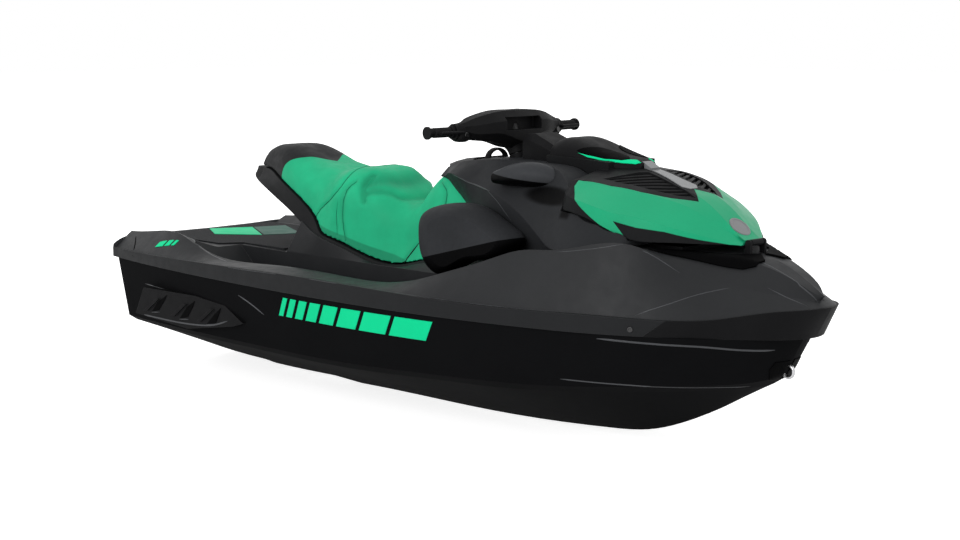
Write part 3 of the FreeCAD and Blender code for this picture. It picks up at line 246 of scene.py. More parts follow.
def cast_metal(name, colour, rough, scale=260.0, depth=0.0006):
    """Bare metal with a cast grain."""
    t = Tree(name)
    t.drive("Metallic", 1.0)
    clouds = t.span(t.noise(18.0, 5.0), 0.3, 0.7)
    t.drive("Base Color", t.mix(clouds, tint(colour, 0.8), tint(colour, 1.1)))
    t.drive("Roughness", t.span(t.noise(60.0, 4.0), 0.3, 0.7, rough - 0.08, rough + 0.1))
    t.drive("Normal", t.bump(t.noise(scale, 3.0), 0.35, depth))
    return t


def brushed_metal(name, colour, rough):
    """Bare metal with fine lines along its length."""
    t = Tree(name)
    stretched = t.add("Mapping", {"Vector": t.place, "Scale": (30.0, 900.0, 900.0)}).outputs[0]
    lines = t.noise(1.0, 3.0, 0.5, stretched)
    t.drive("Metallic", 1.0)
    t.drive("Base Color", t.mix(lines, tint(colour, 0.85), tint(colour, 1.05)))
    t.drive("Roughness", t.span(lines, 0.3, 0.7, rough - 0.06, rough + 0.08))
    t.drive("Normal", t.bump(lines, 0.15, 0.0001))
    return t


def with_shaded_underside(name, top, low, rough, specular, level, rise=0.25):
    """A moulding that is grey above a slanted line along its side and black below it, the black being painted
    shade on the underside.
    """
    t = surface(name, top, rough, specular, grain=0.2)
    x, _, z = t.axes()
    line = t.math("ADD", t.math("MULTIPLY", x, rise), level)
    # Painted shade below the line
    below = t.span(t.math("SUBTRACT", line, z), -0.001, 0.001)
    shade = t.shader.inputs["Base Color"].links[0].from_socket
    t.drive("Base Color", t.mix(below, shade, low))
    return t


def painted_hollow_shade(t, centre, size, gap):
    """Paints shade into the hollow under each mirror and along the shut line at the hood's rear edge.

    The hollow is an ellipse seen from the side, with its centre and half sizes in x and z; the shut
    line runs between the two x of the gap.
    """
    x, y, z = t.axes()
    wide = t.math("DIVIDE", t.math("SUBTRACT", x, centre[0]), size[0])
    high = t.math("DIVIDE", t.math("SUBTRACT", z, centre[1]), size[1])
    away = t.math("ADD", t.math("MULTIPLY", wide, wide), t.math("MULTIPLY", high, high))
    hollow = t.span(away, 1.25, 0.45)
    line = t.math("MULTIPLY", t.span(x, gap[0], gap[0] + 0.02), t.span(x, gap[1] + 0.02, gap[1]))
    line = t.math("MULTIPLY", line, t.span(z, 0.585, 0.60))
    side = t.span(t.math("ABSOLUTE", y), 0.20, 0.225)
    # Painted shade in the hollow under the mirror and in the shut line
    shade_mask = t.math("MULTIPLY", t.math("MAXIMUM", hollow, line), side)
    shade = t.shader.inputs["Base Color"].links[0].from_socket
    t.drive("Base Color", t.mix(shade_mask, shade, BLACK_AND_PAINTED_SHADE))
    return t


LOOKS = {
    "hull_gelcoat": surface("hull gelcoat", HULL_BLACK, 0.55, 0.005, mottle=0.06, grain_scale=500.0,
                            grain=0.01, grain_depth=0.0001, wear_and_highlight=0.03, uneven=0.2),
    "deck_moulding": surface("deck moulding", DECK_GREY, 0.48, 0.16, mottle=0.07, grain=0.2, edge=0.004,
                             wear_and_highlight=0.35),
    "trim_black": surface("textured black trim", TRIM_BLACK, 0.50, 0.05, grain=0.3, grain_scale=700.0),
    "gloss_black": surface("gloss black trim", TRIM_BLACK, 0.16, 0.4, coat=0.4, coat_rough=0.05,
                           grain=0.02),
    "cast_alloy": cast_metal("cast alloy", (0.50, 0.51, 0.52), 0.42),
    "engine_metal": surface("engine casing", (0.04, 0.04, 0.045), 0.45, 0.4, grain=0.4,
                            grain_scale=300.0),
    "bin_plastic": surface("bin moulding", (0.0045, 0.0045, 0.0050), 0.6, 0.06, grain=0.35,
                           grain_scale=500.0),
    "bright_metal": brushed_metal("stainless steel", (0.58, 0.58, 0.59), 0.26),
    "seat_base": surface("seat base moulding", (0.0065, 0.0068, 0.0075), 0.5, 0.10, grain=0.35,
                         grain_scale=600.0, wear_and_highlight=0.15),
    "seat_vinyl": vinyl("seat vinyl", SEAT_GREEN, TAIL_BLACK),
    "grip_rubber": surface("grip rubber", (0.0045, 0.0045, 0.0049), 0.6, 0.10, grain=0.5,
                           grain_scale=650.0, grain_depth=0.0005),
    "mat_foam": ribbed("mat foam", (0.0140, 0.0148, 0.0165), 0.05, math.radians(35)),
    "hood_plastic": surface("hood moulding", (0.0080, 0.0083, 0.0090), 0.45, 0.05, grain=0.08,
                            wear_and_highlight=0.15),
    "hood_green": surface("green moulding", HOOD_GREEN, 0.36, 0.14, mottle=0.03, grain=0.04, wear_and_highlight=0.08),
    "grey_trim": surface("grey trim", MID_GREY, 0.32, 0.4, coat=0.2, coat_rough=0.15, mottle=0.06,
                         grain=0.1),
    "mirror_glass": cast_metal("mirror glass", (0.55, 0.57, 0.6), 0.09, 20.0, 0.00002),
    "bar_metal": surface("coated steel bar", (0.004, 0.004, 0.0045), 0.35, 0.2, grain=0.2),
    "gate_plastic": surface("gate moulding", (0.010, 0.010, 0.011), 0.4, 0.3, grain=0.25),
}
# The pod's black underside is painted shade
POD_SHADED_BELOW = with_shaded_underside("speaker pod with painted shade below", tint(DECK_GREY, 1.75), BLACK_AND_PAINTED_SHADE, 0.52, 0.02, 0.352)
BAND = surface("band moulding", tint(DECK_GREY, 0.75), 0.50, 0.10, mottle=0.07, grain=0.2, edge=0.004,
               wear_and_highlight=0.30)
# The fairing, with painted shade in the hollow under each mirror and along the hood's shut line
FAIRING_WITH_SHADE = painted_hollow_shade(surface("fairing moulding with painted shade", tint(DECK_GREY, 1.35), 0.50, 0.05, mottle=0.07,
                           grain=0.2, edge=0.004, wear_and_highlight=0.3),
                   (0.705, 0.655), (0.135, 0.033), (0.79, 0.84))
# The mirror's lighter grey top is painted light and its black underside painted shade
MIRROR_LIT_AND_SHADED = with_shaded_underside("mirror moulding with painted light and shade", tint(DECK_GREY, 2.5), BLACK_AND_PAINTED_SHADE, 0.42, 0.05, 0.768, -0.11)
BUMPER = surface("bumper moulding", tint(DECK_GREY, 2.4), 0.34, 0.25, grain=0.1, edge=0.006, wear_and_highlight=0.3)
LID = surface("gloss lid", (0.004, 0.004, 0.0045), 0.10, 0.5, coat=1.0, coat_rough=0.03, grain=0.01,
              wear_and_highlight=0.0)
BRIGHT = surface("bright marking film", BRIGHT_GREEN, 0.4, 0.03, mottle=0.03, grain=0.03, wear_and_highlight=0.0)
DULL = surface("dull marking film", DULL_GREEN, 0.5, 0.10, mottle=0.05, grain=0.1, wear_and_highlight=0.0)
SEAM = surface("seat seam", tint(SEAT_GREEN, 0.40), 0.6, 0.10, mottle=0.1, grain=0.3, wear_and_highlight=0.0)
DARK_SEAM = surface("dark seat seam", (0.006, 0.007, 0.007), 0.6, 0.10, grain=0.3, wear_and_highlight=0.0)
# Lighter grey for the crease beads: painted highlights along edges and creases
HIGHLIGHT_GREY = surface("moulding edge painted highlight", tint(DECK_GREY, 3.2), 0.35, 0.25, grain=0.1, wear_and_highlight=0.0)
# Black film and beads: the visor windows and the bumper's dark joint, and painted shade in the sponson slots, the
# gap round the hood's nose and the hollow round the bow eye
BLACK_AND_SHADE_LOOK = surface("black and painted shade", BLACK_AND_PAINTED_SHADE, 0.6, 0.02, grain=0.2, wear_and_highlight=0.0)


def dress(obj, look):
    """Gives an object one look and no other."""
    obj.data.materials.clear()
    obj.data.materials.append(look.material)


# Solids that have a look of their own; the others take the one of their material slot
OWN_LOOKS = {"speaker_pods": POD_SHADED_BELOW, "rub_rail": BAND, "console_fairing": FAIRING_WITH_SHADE, "glovebox_lid": LID,
             "mirror_housings": MIRROR_LIT_AND_SHADED, "stern_bumper": BUMPER}
slot_of = {row["node"]: row["material_slot"] for row in frame["record"]["subparts"]}
for name, obj in nodes.items():
    dress(obj, OWN_LOOKS.get(name) or LOOKS[slot_of[name]])


# Mesh helpers
def new_piece(name, points, faces, look, body, smooth=True):
    """A mesh object that rides a body and takes one look."""
    mesh = bpy.data.meshes.new(name)
    mesh.from_pydata([tuple(p) for p in points], [], faces)
    mesh.validate()
    obj = bpy.data.objects.new(name, mesh)
    scene.collection.objects.link(obj)
    dress(obj, look)
    if smooth:
        mesh.polygons.foreach_set("use_smooth", [True] * len(mesh.polygons))
        mesh.set_sharp_from_angle(angle=math.radians(40))
    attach(obj, body)
    return obj


class Skin:
    """The outer surface of some pieces, for laying things on."""

    def __init__(self, *objects):
        points, faces = [], []
        for obj in objects:
            start = len(points)
            points += [v.co.copy() for v in obj.data.vertices]
            faces += [tuple(start + i for i in p.vertices) for p in obj.data.polygons]
        self.tree = BVHTree.FromPolygons(points, faces)

    def near(self, point):
        """The nearest spot on the surface and its normal."""
        return self.tree.find_nearest(Vector(point))[:2]

    def along(self, point, direction):
        """The first spot that a ray meets and its normal, or None twice."""
        return self.tree.ray_cast(Vector(point), Vector(direction))[:2]


def resample(points, step):
    """Evenly spaced points on a smooth line through the given ones."""
    ring = [Vector(p) for p in points]
    out = []
    for i in range(len(ring) - 1):
        p0 = ring[max(i - 1, 0)]
        p1, p2 = ring[i], ring[i + 1]
        p3 = ring[min(i + 2, len(ring) - 1)]
        count = max(2, int((p2 - p1).length / step))
        for k in range(count):
            u = k / count
            out.append(0.5 * ((2 * p1) + (p2 - p0) * u + (2 * p0 - 5 * p1 + 4 * p2 - p3) * u * u
                              + (3 * p1 - p0 - 3 * p2 + p3) * u * u * u))
    out.append(ring[-1])
    return out


def flip(points):
    """The same line on the other side of the craft."""
    return [(p[0], -p[1], p[2]) for p in points]


def bead(name, path, skin, radius, look, body, slot, sink=0.3, sides=8, flat=1.0, step=0.012):
    """A thin rounded strip that follows a line on the skin, partly sunk in it and tapered at its ends."""
    line = [skin.near(p) for p in resample(path, step)]
    rings = []
    last = len(line) - 1
    for i, (place, normal) in enumerate(line):
        ahead = line[min(i + 1, last)][0] - line[max(i - 1, 0)][0]
        ahead = ahead.normalized() if ahead.length > 0 else Vector((1, 0, 0))
        side = ahead.cross(normal).normalized()
        out = side.cross(ahead).normalized()
        share = min(1.0, 0.25 + min(i, last - i) / 4)
        size = radius * share
        centre = place - out * size * sink
        rings.append([centre + side * math.cos(a) * size + out * math.sin(a) * size * flat
                      for a in (2 * math.pi * k / sides for k in range(sides))])
    return tube_from(name, rings, look, body)


def tube_from(name, rings, look, body, smooth=True):
    """A closed tube through rings of points, each with as many points."""
    sides = len(rings[0])
    points = [p for ring in rings for p in ring]
    faces = []
    for i in range(len(rings) - 1):
        for k in range(sides):
            a, b = i * sides + k, i * sides + (k + 1) % sides
            faces.append((a, b, b + sides, a + sides))
    faces.append(tuple(reversed(range(sides))))
    faces.append(tuple(range(len(points) - sides, len(points))))
    return new_piece(name, points, faces, look, body, smooth)


def patch(name, outline, direction, skin, look, body, slot, lift=0.0006, thick=0.0012, cell=0.012):
    """A film laid on the skin: a flat outline is filled, cut into cells and pressed on from outside."""
    toward = Vector(direction).normalized()
    bm = bmesh.new()
    ring = [bm.verts.new(p) for p in outline]
    bm.faces.new(ring)
    bmesh.ops.triangulate(bm, faces=bm.faces[:])
    for axis in range(3):
        if abs(toward[axis]) > 0.8:
            continue
        low = min(p[axis] for p in outline)
        high = max(p[axis] for p in outline)
        normal = Vector((0, 0, 0))
        normal[axis] = 1
        count = int((high - low) / cell)
        for k in range(1, count + 1):
            spot = Vector((0, 0, 0))
            spot[axis] = low + (high - low) * k / (count + 1)
            bmesh.ops.bisect_plane(bm, geom=bm.verts[:] + bm.edges[:] + bm.faces[:], plane_co=spot,
                                   plane_no=normal)
    bm.verts.ensure_lookup_table()
    tops, normals = [], []
    for v in bm.verts:
        place, normal = skin.along(v.co - toward * 1.5, toward)
        if place is None:
            place, normal = skin.near(v.co)
        if normal.dot(toward) > 0:
            normal = -normal
        tops.append(place + normal * (lift + thick))
        normals.append(normal)
    for v, top in zip(bm.verts, tops):
        v.co = top
    bm.normal_update()
    faces = [[v.index for v in f.verts] for f in bm.faces]
    rim = [(e.verts[0].index, e.verts[1].index) for e in bm.edges if len(e.link_faces) == 1]
    count = len(tops)
    points = tops + [top - normal * thick * 1.8 for top, normal in zip(tops, normals)]
    shell = [tuple(f) for f in faces] + [tuple(count + i for i in reversed(f)) for f in faces]
    shell += [(a, b, count + b, count + a) for a, b in rim]
    bm.free()
    obj = new_piece(name, points, shell, look, body)
    tidy = bmesh.new()
    tidy.from_mesh(obj.data)
    bmesh.ops.recalc_face_normals(tidy, faces=tidy.faces)
    tidy.to_mesh(obj.data)
    tidy.free()
    return obj


def lathe(name, profile, centre, axis, look, body, sides=32):
    """A turned piece: (distance along the axis, radius) pairs turned round it."""
    along = Vector(axis).normalized()
    side = along.orthogonal().normalized()
    other = along.cross(side)
    turns = [2 * math.pi * k / sides for k in range(sides)]
    rings = []
    for distance, radius in profile:
        middle = Vector(centre) + along * distance
        rings.append([middle + (side * math.cos(a) + other * math.sin(a)) * radius for a in turns])
    return tube_from(name, rings, look, body)


def lump(name, centre, size, frame_axes, look, body, square=2.6, sides=32, rings=16):
    """A rounded box: a superellipsoid with its own three axes."""
    def bent(value, power):
        return math.copysign(abs(value) ** power, value)

    power = 2.0 / square
    rows = []
    for i in range(1, rings):
        up = -math.pi / 2 + math.pi * i / rings
        row = []
        for k in range(sides):
            turn = 2 * math.pi * k / sides
            shares = (bent(math.cos(up), power) * bent(math.cos(turn), power),
                      bent(math.cos(up), power) * bent(math.sin(turn), power),
                      bent(math.sin(up), power))
            reach = (Vector(axis) * half * share for axis, half, share in zip(frame_axes, size, shares))
            row.append(Vector(centre) + sum(reach, Vector()))
        rows.append(row)
    return tube_from(name, rows, look, body)


def both(build, name, path, *rest, **more):
    """The same piece on the starboard side, as drawn, and mirrored to port."""
    build(name + "_starboard", path, *rest, **more)
    build(name + "_port", flip(path), *rest, **more)


# Seat cushion
CREASE_SHADE_DEPTH = 0.014  # a crease this deep gets the full painted shade
SHRINK = 0.002  # the remeshed solid is made smaller by this before it swells
PRESSURE = 4.0
CLOTH_FRAMES = 20
DIP_X = -0.13  # where the seat dips ahead of the rider, and by how much
DIP_DEPTH = 0.048


def press_lines(obj, lines):
    """Presses creases and hollows into a cushion along lines on both sides, and marks how deep, for painted shade
    in them.
    """
    co = np.array([v.co for v in obj.data.vertices])
    normal = np.array([v.normal for v in obj.data.vertices])
    push = np.zeros(len(co))
    for line, depth, width in lines:
        near = np.full(len(co), 9.0)
        for mirrored in (line, flip(line)):
            path = np.array([tuple(p) for p in resample(mirrored, width / 2)])
            for start in range(0, len(co), 4000):
                part = slice(start, start + 4000)
                gap = co[part, None, :] - path[None, :, :]
                near[part] = np.minimum(near[part], np.sqrt((gap ** 2).sum(2)).min(1))
        push += depth * np.exp(-(near / width) ** 2)
    # How deep each point was pressed, for the painted shade in the creases
    crease_shade = obj.data.attributes.new("crease_shade", "FLOAT", "POINT")
    crease_shade.data.foreach_set("value", np.clip(push / CREASE_SHADE_DEPTH, 0.0, 1.0))
    moved = co - normal * push[:, None]
    obj.data.vertices.foreach_set("co", moved.ravel())
    obj.data.update()


def sagged(point):
    """Lowers a point where the seat dips ahead of the rider, less near the seat's foot."""
    x, y, z = point
    share = min(1.0, max(0.0, (z - 0.45) / 0.15))
    width = 0.16 if x < DIP_X else 0.115
    return (x, y, z - DIP_DEPTH * share * math.exp(-((x - DIP_X) / width) ** 2))


def applied(obj):
    """Applies an object's modifiers to its mesh."""
    bpy.context.view_layer.update()
    shaped = obj.evaluated_get(bpy.context.evaluated_depsgraph_get())
    obj.data = bpy.data.meshes.new_from_object(shaped)
    obj.modifiers.clear()


def smoothed(obj, factor, rounds):
    """Evens out an object's mesh."""
    smooth = obj.modifiers.new("smooth", "SMOOTH")
    smooth.factor = factor
    smooth.iterations = rounds
    applied(obj)


def puffed(obj, cap):
    """Swells a cushion by cloth pressure, no point moving further than the cap."""
    rest = np.array([v.co for v in obj.data.vertices])
    cloth = obj.modifiers.new("cloth", "CLOTH")
    cloth.settings.use_pressure = True
    cloth.settings.uniform_pressure_force = PRESSURE
    cloth.settings.effector_weights.gravity = 0.0
    cloth.settings.quality = 5
    cloth.point_cache.frame_start = 1
    cloth.point_cache.frame_end = CLOTH_FRAMES
    for step in range(1, CLOTH_FRAMES + 1):
        scene.frame_set(step)
    swollen = obj.evaluated_get(bpy.context.evaluated_depsgraph_get())
    shift = np.array([v.co for v in swollen.data.vertices]) - rest
    obj.modifiers.clear()
    scene.frame_set(1)
    far = np.sqrt((shift ** 2).sum(1))
    keep = np.where(far > cap, cap / np.maximum(far, 1e-9), 1.0)
    obj.data.vertices.foreach_set("co", (rest + shift * keep[:, None]).ravel())
    obj.data.update()


def cushion(name, sources, voxel, cap, lines):
    """A stuffed cushion from CAD solids: remeshed, swollen, then creased along its seams."""
    points, faces = [], []
    for source in sources:
        start = len(points)
        points += [v.co.copy() for v in nodes[source].data.vertices]
        faces += [tuple(start + i for i in p.vertices) for p in nodes[source].data.polygons]
    mesh = bpy.data.meshes.new(name)
    mesh.from_pydata([tuple(p) for p in points], [], faces)
    obj = bpy.data.objects.new(name, mesh)
    scene.collection.objects.link(obj)
    remesh = obj.modifiers.new("remesh", "REMESH")
    remesh.mode = "VOXEL"
    remesh.voxel_size = voxel
    applied(obj)
    smoothed(obj, 0.5, 14)
    shrink = obj.modifiers.new("shrink", "DISPLACE")
    shrink.strength = -SHRINK
    shrink.mid_level = 0.0
    applied(obj)
    puffed(obj, cap)
    press_lines(obj, lines)
    for v in obj.data.vertices:
        v.co = sagged(v.co)
    smoothed(obj, 0.5, 2)
    obj.data.polygons.foreach_set("use_smooth", [True] * len(obj.data.polygons))
    dress(obj, LOOKS["seat_vinyl"])
    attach(obj, "root")
    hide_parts(*sources)
    return obj


# Seams and creases of the seat, on the starboard side
BOLSTER = [(-0.421, -0.168, 0.628), (-0.447, -0.192, 0.590), (-0.456, -0.205, 0.531),
           (-0.453, -0.209, 0.465), (-0.430, -0.220, 0.397)]
DISH_SIDE = [(-0.347, -0.191, 0.558), (-0.368, -0.178, 0.602), (-0.372, -0.156, 0.636),
             (-0.367, -0.116, 0.660)]
DISH = [(-0.343, -0.179, 0.588), (-0.318, -0.162, 0.601), (-0.295, -0.144, 0.608),
        (-0.262, -0.112, 0.606), (-0.233, -0.087, 0.597), (-0.222, -0.040, 0.592),
        (-0.220, 0.0, 0.590)]
HOLLOW = [(-0.352, -0.150, 0.632), (-0.325, -0.115, 0.640), (-0.300, -0.060, 0.640), (-0.295, 0.0, 0.640)]
NOSE = [(0.001, -0.107, 0.660), (0.049, -0.127, 0.619), (0.054, -0.138, 0.572), (0.040, -0.140, 0.500)]
BACK_SEAM = [(-0.649, -0.215, 0.441), (-0.612, -0.198, 0.495), (-0.530, -0.204, 0.549),
             (-0.487, -0.193, 0.595), (-0.470, -0.150, 0.640), (-0.462, -0.080, 0.662),
             (-0.460, 0.0, 0.668)]
SIDE_SEAM = [(-0.480, -0.200, 0.545), (-0.486, -0.210, 0.486), (-0.475, -0.220, 0.413)]
FRONT_SEAM = [(-0.062, -0.150, 0.415), (-0.102, -0.173, 0.369), (-0.126, -0.192, 0.334)]

# Each line with its depth and half width
PRESSED = ((BOLSTER, 0.008, 0.010), (DISH_SIDE, 0.014, 0.013), (DISH, 0.011, 0.014),
           (HOLLOW, 0.014, 0.034), (NOSE, 0.007, 0.010), (BACK_SEAM, 0.005, 0.007),
           (SIDE_SEAM, 0.003, 0.006), (FRONT_SEAM, 0.006, 0.008))
# Each sewn line with its radius
SEAMS = (("seat_back_seam", BACK_SEAM, 0.0020, SEAM),
         ("seat_side_seam", SIDE_SEAM, 0.0014, SEAM),
         ("seat_front_seam", FRONT_SEAM, 0.0030, DARK_SEAM),
         ("seat_nose_seam", NOSE, 0.0022, SEAM),
         ("seat_bolster_seam", BOLSTER, 0.0016, SEAM))

seat = cushion("seat_cushion", ("driver_cushion", "passenger_cushion"), voxel=0.006,
               cap=0.004, lines=PRESSED)
seat_skin = Skin(seat)
for name, path, radius, look in SEAMS:
    both(bead, name, [sagged(p) for p in path], seat_skin, radius, look, "root", "seat_vinyl", sink=0.2)

# Markings and small trim
hull_skin = Skin(nodes["hull_shell"])
deck_skin = Skin(nodes["deck"], nodes["platform_mat"])
rail_skin = Skin(nodes["rub_rail"], nodes["bow_bumper"])
hood_skin = Skin(nodes["hood_shell"], nodes["hood_panel"])
visor_skin = Skin(nodes["gauge_visor"])
fairing_skin = Skin(nodes["console_fairing"])
sponson_skin = Skin(nodes["sponsons"])


BESIDE = 0.7  # films on the hull's side are drawn at this y, above the deck at a height of ABOVE
ABOVE = 1.0
DOWN = (0, 0, -1)

# Slanted bars along the hull's side, the widest ahead
BAR_FRONT, BAR_LOW, BAR_HIGH, BAR_SLANT, BAR_GAP = 0.39, 0.152, 0.228, 0.058, 0.018
BAR_WIDTHS = (0.170, 0.130, 0.100, 0.076, 0.058, 0.044, 0.034, 0.026)
for word, side in SIDES:
    x = BAR_FRONT
    for index, wide in enumerate(BAR_WIDTHS):
        corners = ((x - wide, BAR_LOW), (x, BAR_LOW), (x + BAR_SLANT, BAR_HIGH),
                   (x - wide + BAR_SLANT, BAR_HIGH))
        patch("hull_bar_%s_%d" % (word, index), [(a, side * BESIDE, b) for a, b in corners],
              (0, -side, 0), hull_skin, BRIGHT, "root", "hood_green")
        x -= wide + BAR_GAP

# Two plain panels on the platform's mat
MAT_PANELS = (
    ("mat_panel_bright", BRIGHT, ((-1.545, -0.050), (-1.455, 0.118), (-1.205, -0.022), (-1.372, -0.148))),
    ("mat_panel_dull", DULL, ((-1.450, 0.122), (-1.400, 0.262), (-1.130, 0.130), (-1.197, -0.016))))
for name, look, plan in MAT_PANELS:
    patch(name, [(x, y, ABOVE) for x, y in plan], DOWN, deck_skin, look, "root", "mat_foam", cell=0.06)

# Three small bars on each stern quarter: where each starts and how long it is
STERN_BARS = ((-1.262, 0.052), (-1.196, 0.034), (-1.148, 0.020))
for word, side in SIDES:
    for index, (start, wide) in enumerate(STERN_BARS):
        plan = ((start, 0.530), (start + wide, 0.530), (start + wide + 0.012, 0.512),
                (start + 0.012, 0.512))
        patch("stern_bar_%s_%d" % (word, index), [(x, side * y, ABOVE) for x, y in plan], DOWN,
              deck_skin, BRIGHT, "root", "hood_green", cell=0.02)

# Raised creases of the deck, the fairing, the band, the sponsons and the hull's side, in a lighter grey as painted
# highlight lines, each with its skin, its material slot, its radius and its line to starboard
CREASES = (
    ("deck_crease_aft", deck_skin, "deck_moulding", 0.0016,
     [(0.875, -0.423, 0.494), (0.936, -0.408, 0.502), (1.028, -0.381, 0.518), (1.099, -0.346, 0.534)]),
    ("deck_crease_hood", deck_skin, "deck_moulding", 0.0018,
     [(1.130, -0.320, 0.520), (1.186, -0.296, 0.496), (1.222, -0.275, 0.471), (1.257, -0.257, 0.447)]),
    ("deck_crease_low", deck_skin, "deck_moulding", 0.0020,
     [(1.179, -0.388, 0.315), (1.219, -0.358, 0.335), (1.264, -0.319, 0.355),
      (1.310, -0.271, 0.378), (1.350, -0.226, 0.393), (1.396, -0.178, 0.406)]),
    ("deck_crease_nose", deck_skin, "deck_moulding", 0.0026,
     [(1.411, -0.063, 0.485), (1.506, -0.056, 0.450), (1.586, -0.038, 0.402), (1.622, -0.020, 0.372)]),
    ("deck_crease_tip", deck_skin, "deck_moulding", 0.0018,
     [(1.493, -0.111, 0.409), (1.556, -0.091, 0.382), (1.612, -0.068, 0.358)]),
    ("fairing_crease", fairing_skin, "deck_moulding", 0.0026,
     [(0.141, -0.186, 0.689), (0.201, -0.204, 0.679), (0.263, -0.213, 0.666),
      (0.358, -0.243, 0.656), (0.410, -0.260, 0.650)]),
    ("hull_ledge", hull_skin, "hull_gelcoat", 0.0045,
     [(1.060, -0.432, 0.2315), (1.102, -0.414, 0.231), (1.231, -0.350, 0.227),
      (1.354, -0.272, 0.223), (1.440, -0.185, 0.216), (1.513, -0.092, 0.210)]),
    ("hull_slot_rim", hull_skin, "hull_gelcoat", 0.0040,
     [(-0.615, -0.597, 0.202), (-0.542, -0.591, 0.175), (-0.474, -0.583, 0.140)]),
    ("fairing_edge_low", fairing_skin, "deck_moulding", 0.0015,
     [(0.381, -0.251, 0.655), (0.449, -0.270, 0.622), (0.497, -0.279, 0.588), (0.543, -0.286, 0.554)]),
    ("band_top_line", rail_skin, "deck_moulding", 0.0013,
     [(-1.300, -0.556, 0.290), (-0.958, -0.590, 0.302), (-0.541, -0.622, 0.310),
      (-0.244, -0.624, 0.317), (-0.032, -0.626, 0.317), (0.294, -0.600, 0.316),
      (0.603, -0.555, 0.314), (0.873, -0.499, 0.309), (1.077, -0.436, 0.307)]),
    ("sponson_foot", sponson_skin, "trim_black", 0.0038,
     [(-1.288, -0.576, 0.041), (-1.060, -0.576, 0.039), (-0.900, -0.576, 0.046),
      (-0.800, -0.576, 0.060), (-0.715, -0.574, 0.085)]),
    ("stern_rim", deck_skin, "deck_moulding", 0.0040,
     [(-1.190, -0.485, 0.384), (-1.084, -0.472, 0.363), (-0.995, -0.497, 0.345),
      (-0.919, -0.508, 0.325), (-0.835, -0.517, 0.312), (-0.767, -0.529, 0.308)]),
    ("hull_chine", hull_skin, "hull_gelcoat", 0.0030,
     [(0.889, -0.415, 0.072), (1.021, -0.366, 0.071), (1.145, -0.312, 0.071),
      (1.253, -0.242, 0.072), (1.353, -0.163, 0.076), (1.416, -0.085, 0.078)]),
    ("hull_stern_line", hull_skin, "hull_gelcoat", 0.0026,
     [(-1.340, -0.520, 0.162), (-1.260, -0.540, 0.157), (-1.120, -0.560, 0.150)]),
)
for name, skin, slot, radius, path in CREASES:
    both(bead, name, path, skin, radius, HIGHLIGHT_GREY, "root", slot, flat=0.7)

# The dark line between the stern bumper and the deck
both(bead, "bumper_seam", [(-1.514, -0.454, 0.337), (-1.449, -0.503, 0.309), (-1.395, -0.548, 0.270)],
     Skin(nodes["deck"], nodes["rub_rail"]), 0.0035, BLACK_AND_SHADE_LOOK, "root", "deck_moulding", sink=0.5)

# Painted shade in the slots of the sponsons, with painted highlights at their feet: outlines in x and z, from the
# foot round
SLOTS = (((-1.229, 0.061), (-1.184, 0.106), (-1.119, 0.142), (-1.134, 0.120), (-1.179, 0.073)),
         ((-1.033, 0.056), (-0.982, 0.109), (-0.927, 0.140), (-0.940, 0.116), (-0.977, 0.069)),
         ((-0.850, 0.057), (-0.795, 0.104), (-0.755, 0.132), (-0.764, 0.112), (-0.790, 0.068)))
SPONSON_SIDE = 0.576
for word, side in SIDES:
    for index, outline in enumerate(SLOTS):
        patch("sponson_slot_%s_%d" % (word, index), [(x, side * BESIDE, z) for x, z in outline],
              (0, -side, 0), sponson_skin, BLACK_AND_SHADE_LOOK, "root", "trim_black", cell=0.03)
        (first_x, first_z), (last_x, _) = outline[0], outline[-1]
        foot = [(first_x - 0.004, side * SPONSON_SIDE, first_z - 0.003),
                (last_x + 0.004, side * SPONSON_SIDE, first_z + 0.004)]
        bead("sponson_slot_foot_%s_%d" % (word, index), foot, sponson_skin, 0.0034, HIGHLIGHT_GREY, "root",
             "trim_black")

# Painted shade, as a black sheet on the deck, in the gap round the hood's nose: its outer and inner edges in x and
# y
OUTER_GAP = ((1.150, 0.285), (1.175, 0.269), (1.236, 0.226), (1.285, 0.195), (1.347, 0.157),
             (1.404, 0.122), (1.434, 0.094), (1.436, 0.050))
INNER_GAP = ((1.392, 0.012), (1.368, 0.058), (1.336, 0.111), (1.273, 0.151), (1.225, 0.165),
             (1.205, 0.200), (1.160, 0.250))
both(patch, "hood_gap", [(x, -y, ABOVE) for x, y in OUTER_GAP + INNER_GAP], DOWN, Skin(nodes["deck"]),
     BLACK_AND_SHADE_LOOK, "root", "deck_moulding", lift=0.0035, thick=0.0035, cell=0.010)

# Painted shade, as a black sheet, in the hollow round the bow eye
EYE_HOLLOW_SHADE = [(1.500, -0.012, 0.172), (1.494, -0.070, 0.168), (1.484, -0.078, 0.140),
              (1.466, -0.060, 0.104), (1.462, -0.012, 0.094)]
both(patch, "bow_eye_hollow", EYE_HOLLOW_SHADE, (-1, 0, 0.3), hull_skin, BLACK_AND_SHADE_LOOK, "root", "hull_gelcoat",
     lift=0.0015, cell=0.012)

# Bolts through the band
BOLT = [(-0.002, 0.010), (0.0015, 0.010), (0.0035, 0.0085), (0.0035, 0.0045), (0.0015, 0.0035)]
for word, side in SIDES:
    place, normal = rail_skin.near((1.175, side * 0.402, 0.273))
    lathe("band_bolt_" + word, BOLT, place, normal, LOOKS["gloss_black"], "root", 24)

